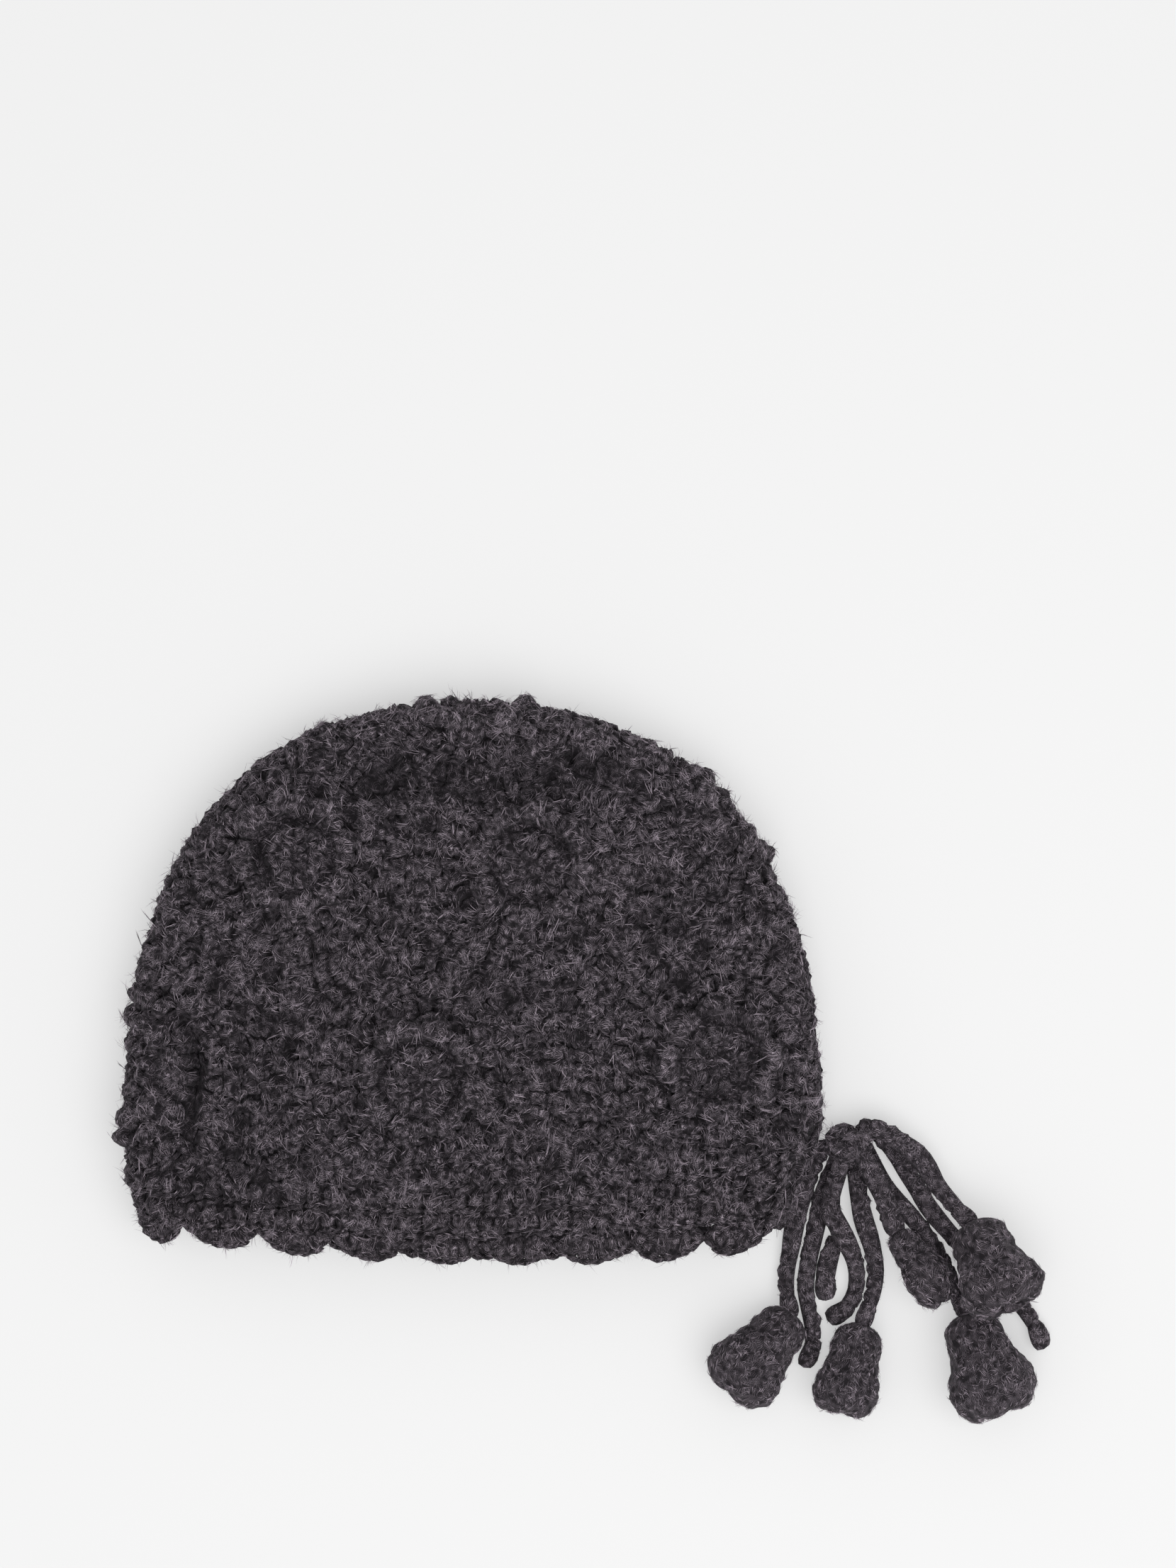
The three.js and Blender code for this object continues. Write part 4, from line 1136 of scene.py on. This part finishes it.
# Stitches close in threes: how close they stand at their feet and at their heads, and how unevenly.
CLUSTER = 3
FEET_CLOSE, HEADS_CLOSE = 0.96, 0.9
CLUSTER_SLACK = 0.12
POST = {"front": spindle(7, 5, 0.36), "back": spindle(6, 4, 0.4)}
LOOP = {"front": spindle(5, 3, 0.6), "back": spindle(5, 2, 0.5)}
POST_JITTER = 0.4
CROWN_POST = dict(width=(1.0176 * STITCH, 1.1328 * STITCH), thick=3.7, lift=(-1.7, -0.2, -1.2), twist=0.8)
HEAD_LOOP = dict(width=(2.3, 2.7), thick=2.6, twist=0.6, shade=0.6, jitter=0.1)
# The two loops of a head: how far past it they lie, how slanted and how high. The back shows only the first.
HEAD_LOOPS = ((-1.0, 0.7, 0.75), (0.9, 0.5, 0.15))
HEAD_HALF, HEAD_DROP = 0.62 * STITCH, 1.1


def crochet(side, foot, head):
    """Rows of double crochet: a two-ply post from foot to head, and the head's two loops lying across it."""
    place, lit = SHEETS[side], LIT[side]
    parts = [stitches(place, foot, head, form=POST[side], jitter=POST_JITTER, lit=lit, **CROWN_POST)]
    way = head - foot
    way = way / np.linalg.norm(way, axis=1)[:, None]
    across = np.stack([-way[:, 1], way[:, 0]], 1)
    shift = draw.normal(0, POST_JITTER, (len(foot), 2))
    for past, slant, top in HEAD_LOOPS[: 2 if side == "front" else 1]:
        middle = head + way * past + shift
        half = across * HEAD_HALF - way * slant
        lift = (top - HEAD_DROP, top, top - HEAD_DROP)
        parts.append(stitches(place, middle - half, middle + half, lift=lift, form=LOOP[side], lit=lit,
                              **HEAD_LOOP))
    return joined(parts)


def back_place(x, y):
    """Where a flower that is folded over from the front lies on the back's chart."""
    inward_x, inward_y, distance = measure_edge(np.array([x]), np.array([y]))[0]
    return np.array([x, y]) - np.array([inward_x, inward_y]) * 2 * (distance + ROLL)


def seeds_of(side):
    """The middles of the flowers that the rounds of a sheet grow from."""
    found = []
    for name, (where, x, y, turn) in FLOWERS.items():
        if where == side:
            found.append((x, y))
        elif side == "back" and name in FOLDED:
            found.append(tuple(back_place(x, y)))
    return np.array(found)


hem_top = on_round(HEM_RUN - HEM_ROWS * HEM_ROW, np.linspace(-1.2, 1.2, 80))
RAYS = 360
RAY_STEPS = np.arange(2.0, 96.0, 1.0)
RAYS_EVENED = 4
# The least room for a round, and how much of a round's slope counts towards its length.
LEAST_ROOM = 4
SLOPE_SHARE = 0.6


def reach_of(seeds, index):
    """How far a flower's rounds reach in each direction: to the next flower's, the fold or the hem."""
    angle = 2 * np.pi * np.arange(RAYS) / RAYS
    x = seeds[index, 0] + RAY_STEPS * np.cos(angle)[:, None]
    y = seeds[index, 1] + RAY_STEPS * np.sin(angle)[:, None]
    away = np.hypot(x[..., None] - seeds[:, 0], y[..., None] - seeds[:, 1])
    own = away.argmin(-1) == index
    on_sheet = edge_at(x.ravel(), y.ravel())[1].reshape(x.shape) > -ROLL
    above_hem = y > np.interp(x, hem_top[:, 0], hem_top[:, 1])
    reach = np.where(own & on_sheet & above_hem, RAY_STEPS, 0).max(1)
    wrapped = np.concatenate([reach[-RAYS_EVENED:], reach, reach[:RAYS_EVENED]])
    window = 2 * RAYS_EVENED + 1
    smoothed = np.convolve(wrapped, np.ones(window) / window, "valid")
    return angle, np.where(reach > 0, smoothed, 0)


def rounds_about(seeds, index):
    """Feet and heads of the stitches round one flower, in clusters that close towards their heads."""
    angle, reach = reach_of(seeds, index)
    full_turn = np.append(angle, 2 * np.pi)
    levels = np.clip(np.round((reach - ROUND_START) / ROW), 0, MOST_ROUNDS)
    feet, heads = [np.zeros((0, 2))], [np.zeros((0, 2))]
    for level in range(int(levels.max())):
        open_here = (levels > level) & (reach > ROUND_START + LEAST_ROOM)
        row = (reach - ROUND_START) / np.maximum(levels, 1)
        inner = ROUND_START + row * level
        outer = ROUND_START + row * (level + 1)
        middle = (inner + outer) / 2
        piece = np.hypot(middle * 2 * np.pi / RAYS, np.gradient(middle) * SLOPE_SHARE) * open_here
        run = np.concatenate([[0], np.cumsum(piece)])
        count = int(run[-1] / STITCH)
        if count < 2:
            continue
        pitch = run[-1] / count
        first, slip = draw.integers(0, CLUSTER), draw.uniform(0, 1)
        number = np.arange(count)
        at = (number + slip) * pitch
        closing = CLUSTER * ((number + first) // CLUSTER) - first + (CLUSTER - 1) / 2
        closing = (closing + slip) * pitch
        for found, radius, close in ((feet, inner, FEET_CLOSE), (heads, outer, HEADS_CLOSE)):
            spread = closing + close * (at - closing) + draw.normal(0, CLUSTER_SLACK * pitch, count)
            where = np.interp(spread % run[-1], run + 1e-6 * np.arange(RAYS + 1), full_turn)
            far = np.interp(where, full_turn, np.append(radius, radius[0]))
            far = far + draw.normal(0, ROW_SLACK, count)
            found.append(seeds[index] + np.stack([np.cos(where), np.sin(where)], 1) * far[:, None])
    return np.concatenate(feet), np.concatenate(heads)


def hem_rows():
    """Straight rows of double crochet between the flowers' rounds and the scalloped edge."""
    feet, heads = [], []
    for row in range(HEM_ROWS):
        upper = HEM_RUN - HEM_ROW * (HEM_ROWS - row)
        width = np.linalg.norm(np.diff(on_round(upper, np.linspace(-1, 1, 60)), axis=0), axis=1).sum()
        count = int(width / STITCH)
        share = -1 + 2 * (np.arange(count) + 0.5 + 0.5 * (row % 2)) / count
        slack = draw.normal(0, ROW_SLACK, (4, count))
        feet.append(on_round(upper + HEM_FOOT + slack[0], share + slack[1] / width))
        heads.append(on_round(upper + HEM_ROW - HEM_HEAD + slack[2], share + HEM_STAGGER * slack[3] / width))
    return np.concatenate(feet), np.concatenate(heads)


def sheet_stitches(side):
    """Feet and heads of all the stitches of a sheet."""
    seeds = seeds_of(side)
    found = [rounds_about(seeds, i) for i in range(len(seeds))] + [hem_rows()]
    return [np.concatenate(places) for places in zip(*found)]


# Where the front's upper piece meets the lower one on the chart.
PARTING = 50.0
FRONT_HAIRS, BACK_HAIRS = 20000, 4800


def make_crochet(name, side, foot, head, hairs):
    """A piece of the crown's stitches, brushed."""
    part = brushed(crochet(side, foot, head), hairs, lively=0.5, longest=5.0)
    return make_piece(name, part, crown_yarn)


front_foot, front_head = sheet_stitches("front")
upper = front_foot[:, 1] > PARTING
make_crochet("crown_upper_stitches", "front", front_foot[upper], front_head[upper], FRONT_HAIRS)
make_crochet("crown_lower_stitches", "front", front_foot[~upper], front_head[~upper], FRONT_HAIRS)
make_crochet("crown_back_stitches", "back", *sheet_stitches("back"), BACK_HAIRS)


# The flowers. The disc is a ring of double crochet round a small hole, and eight puffed petals, each a fan of
# five stitches, arch up from behind the disc and come down again on the cap. From the middle outwards: a
# pad that fills the flower, the posts of the hub and of the disc, a chain round it, and the petals.
PAD_RADIUS = 19.5
PAD = dict(width=(39.0, 39.0), thick=3.4, lift=(0, 0.2, 0), shade=0.2)
HUB_POSTS, HUB_START, HUB_END, HUB_TURN = 7, 1.5, 5.0, 0.12
HUB_POST = dict(width=(1.6, 3.9), thick=3.0, lift=(0.6, 2.2, 1.4), twist=0.6, jitter=0.12)
DISC_POSTS, DISC_START, DISC_END = 12, 5.2, 11.2
PAIR_AT_START, PAIR_AT_END = 0.9, 0.97
DISC_POST = dict(width=(3.2, 5.9), thick=3.6, lift=(0.9, 2.5, 1.6), twist=0.7, shade=0.52, jitter=0.18)
CHAIN_START, CHAIN_END, CHAIN_TURN = 11.0, 11.7, 0.3
CHAIN_LOOP = dict(width=(2.4, 2.8), thick=2.6, lift=(1.1, 2.4, 1.3), twist=0.6, shade=0.62, jitter=0.15)
PETALS, PETAL_FAN = 8, np.arange(-2, 3)
PETAL_START, PETAL_END = 12.9, 22.4
PETAL_POST = dict(width=(3.1, 4.8), thick=3.8, twist=0.7, jitter=0.3)
PETAL_LOOP = dict(width=(2.2, 2.4), thick=2.4, lift=(1.0, 1.9, 1.0), twist=0.6, shade=0.6, jitter=0.15)
LOOP_OVERLAP = 0.03
# How far the petal's stitches stand apart at foot and head, in radians. How much the outer ones are shorter
# and lower, and how high the petal is at its middle and its ends.
FAN_START, FAN_END = 0.115, 0.152
PETAL_SHORTER, PETAL_LOWER = 0.62, 0.42
PETAL_PUFF, PETAL_SEAT = 4.3, 0.9
# How deep a folded flower is drawn into the fold.
SUNK = {"rosette_upper_3": 1.0, "rosette_lower_1": 2.0, "rosette_top": 0.8}
# Petals that curl up into knobs where a flower is folded: direction, distance and lift.
KNOBS = {
    "rosette_lower_1": [(1.57, 24.5, 0.2), (-1.57, 24.0, 2.0)],
    "rosette_upper_3": [(-1.23, 18.5, 2.4), (2.64, 21.5, 1.4)],
}
KNOB_HALF, KNOB_DROP = 3.6, 1.5
KNOB = dict(width=(6.6, 6.6), thick=6.0, twist=0.5, jitter=0.1)
FLOWER_HAIRS = {"front": 1800, "back": 500}
flower_yarn = make_yarn("flower_yarn", DARK, PALE, even=0.03, clumpy=0.8)


def make_flower(name, side, x, y, turn):
    """Rings of stitches between two radii about the flower's middle, and loops from one stitch to the next.

    A petal's stitches get shorter and lower by the square of their place in its fan."""
    middle = np.array([x, y])
    sheet, post, loop, lit = SHEETS[side], POST[side], LOOP[side], LIT[side]

    def place(a, b, lift):
        return sheet(a, b, lift - SUNK.get(name, 0.0))

    def polar(radius, angle):
        radius, angle = np.broadcast_arrays(radius, angle)
        return middle + np.stack([radius * np.cos(angle), radius * np.sin(angle)], -1).reshape(-1, 2)

    pad = np.array([[PAD_RADIUS, 0]])
    parts = [stitches(place, middle - pad, middle + pad, form=spindle(20, 7, 0.5), **PAD)]

    hub = turn + 2 * np.pi * np.arange(HUB_POSTS) / HUB_POSTS
    foot, head = polar(HUB_START, hub), polar(HUB_END, hub + HUB_TURN)
    parts.append(stitches(place, foot, head, form=post, lit=lit, **HUB_POST))

    k = np.arange(DISC_POSTS)
    pair = turn + 2 * np.pi * (k // 2 + 0.5) / (DISC_POSTS / 2)
    lean = (k % 2 - 0.5) * 2 * np.pi / DISC_POSTS
    foot, head = polar(DISC_START, pair + PAIR_AT_START * lean), polar(DISC_END, pair + PAIR_AT_END * lean)
    parts.append(stitches(place, foot, head, form=post, lit=lit, **DISC_POST))

    spoke = turn + 2 * np.pi * (k + 0.5) / DISC_POSTS
    start, end = polar(CHAIN_START, spoke - CHAIN_TURN), polar(CHAIN_END, spoke + CHAIN_TURN)
    parts.append(stitches(place, start, end, form=loop, lit=lit, **CHAIN_LOOP))

    petal = (turn + 2 * np.pi * (np.arange(PETALS) + 0.5) / PETALS)[:, None]
    rim_angle = petal + FAN_END * PETAL_FAN
    rim_radius = PETAL_END - PETAL_SHORTER * PETAL_FAN**2 + 0 * petal
    puff = np.tile(PETAL_PUFF - PETAL_LOWER * PETAL_FAN**2, PETALS)
    seat = np.full_like(puff, PETAL_SEAT)
    foot, head = polar(PETAL_START, petal + FAN_START * PETAL_FAN), polar(rim_radius, rim_angle)
    lift = np.stack([seat, puff, seat], 1)
    parts.append(stitches(place, foot, head, lift=lift, form=post, lit=lit, **PETAL_POST))
    start = polar(rim_radius[:, :-1], rim_angle[:, :-1] - LOOP_OVERLAP)
    end = polar(rim_radius[:, 1:], rim_angle[:, 1:] + LOOP_OVERLAP)
    parts.append(stitches(place, start, end, form=loop, lit=lit, **PETAL_LOOP))

    for angle, far, rise in KNOBS.get(name, []):
        start, end = polar(far - KNOB_HALF, angle), polar(far + KNOB_HALF, angle)
        lift = (rise - KNOB_DROP, rise, rise - KNOB_DROP)
        parts.append(stitches(sheet, start, end, lift=lift, form=post, lit=lit, **KNOB))
    part = brushed(joined(parts), FLOWER_HAIRS[side], lively=0.7, longest=5.0)
    return make_piece(name + "_crochet", part, flower_yarn, [name])


for name, row in FLOWERS.items():
    make_flower(name, *row)


# The scalloped edge: twenty shells of seven double crochet worked into the last round, with a chain along
# their rim. The band is deeper towards the right of the hem than towards the left, apart from the folds.
# How many shells there are in all and on the front, and how far apart a shell's stitches are, in shells.
SHELLS = 20
FRONT_SHELLS = 9.447
SHELL_FAN = np.arange(-3, 4)
FEET_APART, HEADS_APART = 0.09, 0.148
BAND_START = -0.6
HEADS_ABOVE_RIM = 1.9
SHELL_POST = dict(width=(3.3, 5.2), thick=4.4, lift=(-2.0, -1.2, -1.9), twist=0.8, jitter=0.2)
# The band's depth at a notch, how much more it is at a shell, and how far the thread draws a notch in.
SHELL_NOTCH = 6.2
SHELL_RISE = 5.0
SHELL_BLUNTNESS = 0.7
NOTCH_DRAWN_IN = 2.9
SHELL_PHASE = 0.038
# How much deeper it is towards the right, up to near the folds.
HEM_TILT = 3.6
TILT_END = 0.72
TILT_FADE = 0.25
# The chain along the rim: loops to a shell, and its two rows, by how far above the rim and how high they lie.
RIM_LOOPS = 6
RIM_ROWS = ((2.0, -0.9), (1.7, -2.8))
RIM_OVERLAP, RIM_ARCH, RIM_DROP = 0.03, 0.3, 0.5
RIM_LOOP = dict(width=(2.3, 2.5), thick=2.6, twist=0.6, shade=0.65, jitter=0.12)
BAND_HAIRS = 6500
edge_yarn = make_yarn("edge_yarn", DARK, PALE, even=0.02, drawn=0.52, clumpy=0.8)


def share_at(side, shell):
    """How far across its sheet a shell is, from the left fold at -1 to the right one at 1."""
    if side == "front":
        return 2 * (shell - SHELL_PHASE) / FRONT_SHELLS - 1
    return 1 - 2 * (shell - SHELL_PHASE - FRONT_SHELLS) / (SHELLS - FRONT_SHELLS)


def on_band(side, shell, down):
    """A place on the band, from its shell and how far below the crown's last round it lies."""
    return on_round(HEM_RUN + down, share_at(side, shell)).reshape(-1, 2)


def shell_depth(side, shell):
    """How deep the band is: the notch, a blunted arch over each shell, and the hem's tilt."""
    share = share_at(side, shell)
    tilt = HEM_TILT * share * (1 - smooth((np.abs(share) - TILT_END) / TILT_FADE))
    arch = np.abs(np.sin(np.pi * shell))
    return SHELL_NOTCH + SHELL_RISE * arch**SHELL_BLUNTNESS + tilt - NOTCH_DRAWN_IN * (1 - arch) ** 2


def make_band():
    """Shells of posts that fan out towards the rim, and two rows of loops along the rim, on both sheets."""
    parts = []
    for side, first, last in (("front", 0, 9.5), ("back", 9.5, 20)):
        middle = np.arange(int(first), int(last + 0.5))[:, None] + 0.5
        foot = on_band(side, middle + FEET_APART * SHELL_FAN, BAND_START)
        spread = middle + HEADS_APART * SHELL_FAN
        head = on_band(side, spread, shell_depth(side, spread) - HEADS_ABOVE_RIM)
        parts.append(stitches(SHEETS[side], foot, head, form=POST["front"], lit=LIT[side], **SHELL_POST))
        corner = np.arange(first, last - 0.01, 1 / RIM_LOOPS)
        after = corner + 1 / RIM_LOOPS
        for above_rim, level in RIM_ROWS:
            start = on_band(side, corner - RIM_OVERLAP, shell_depth(side, corner) - above_rim)
            end = on_band(side, after + RIM_OVERLAP, shell_depth(side, after) - above_rim)
            lift = (level - RIM_DROP, level + RIM_ARCH, level - RIM_DROP)
            parts.append(stitches(SHEETS[side], start, end, lift=lift, form=LOOP["front"], **RIM_LOOP))
    part = brushed(joined(parts), BAND_HAIRS, all_round=True, lively=0.35, longest=4.0)
    return make_piece("scallop_edge_crochet", part, edge_yarn, ["scallop_edge"])


make_band()


# The table top and the light: a seamless white surface under a wide soft light from above, a little from
# the right and from below in the picture, so that faint shadows fall up and to the left. The surface also
# glows a little, which is painted light: it keeps those shadows faint and lights the bonnet from below.
FLOOR_HALF = 4.0
FLOOR_GREY = 0.5
FLOOR_GLOW = 0.42
LIGHT_SIZE = 1.8
LIGHT_POWER = 14.0
LIGHT_PLACE = (0.35, -0.45, 1.5)
ROOM_GLOW = 0.6
floor_recipe = Recipe("table_white")
floor_shade = floor_recipe.node(
    "ShaderNodeBsdfPrincipled",
    {},
    {
        "Base Color": (FLOOR_GREY, FLOOR_GREY, FLOOR_GREY, 1.0),
        "Roughness": 0.9,
        "Specular IOR Level": 0.0,
        # Painted light: the table glows, though it is no lamp.
        "Emission Color": (1.0, 1.0, 1.0, 1.0),
        "Emission Strength": FLOOR_GLOW,
    },
)
floor_recipe.node("ShaderNodeOutputMaterial", {}, {"Surface": floor_shade})
floor_mesh = bpy.data.meshes.new("table_top")
floor_corners = [(FLOOR_HALF * x, FLOOR_HALF * y, 0) for x, y in ((-1, -1), (1, -1), (1, 1), (-1, 1))]
floor_mesh.from_pydata(floor_corners, [], [(0, 1, 2, 3)])
floor_mesh.materials.append(floor_recipe.material)
floor = bpy.data.objects.new("table_top", floor_mesh)
bpy.context.scene.collection.objects.link(floor)

lamp = bpy.data.lights.new("wide_light", "AREA")
lamp.shape = "DISK"
lamp.size = LIGHT_SIZE
lamp.energy = LIGHT_POWER
light = bpy.data.objects.new("wide_light", lamp)
bpy.context.scene.collection.objects.link(light)
light.location = LIGHT_PLACE
light.rotation_euler = (-Vector(LIGHT_PLACE)).to_track_quat("-Z", "Y").to_euler()

world = bpy.data.worlds.new("studio")
world.use_nodes = True
room = world.node_tree.nodes["Background"]
room.inputs["Color"].default_value = (1.0, 1.0, 1.0, 1.0)
room.inputs["Strength"].default_value = ROOM_GLOW
bpy.context.scene.world = world
bpy.context.scene.view_settings.view_transform = "Standard"
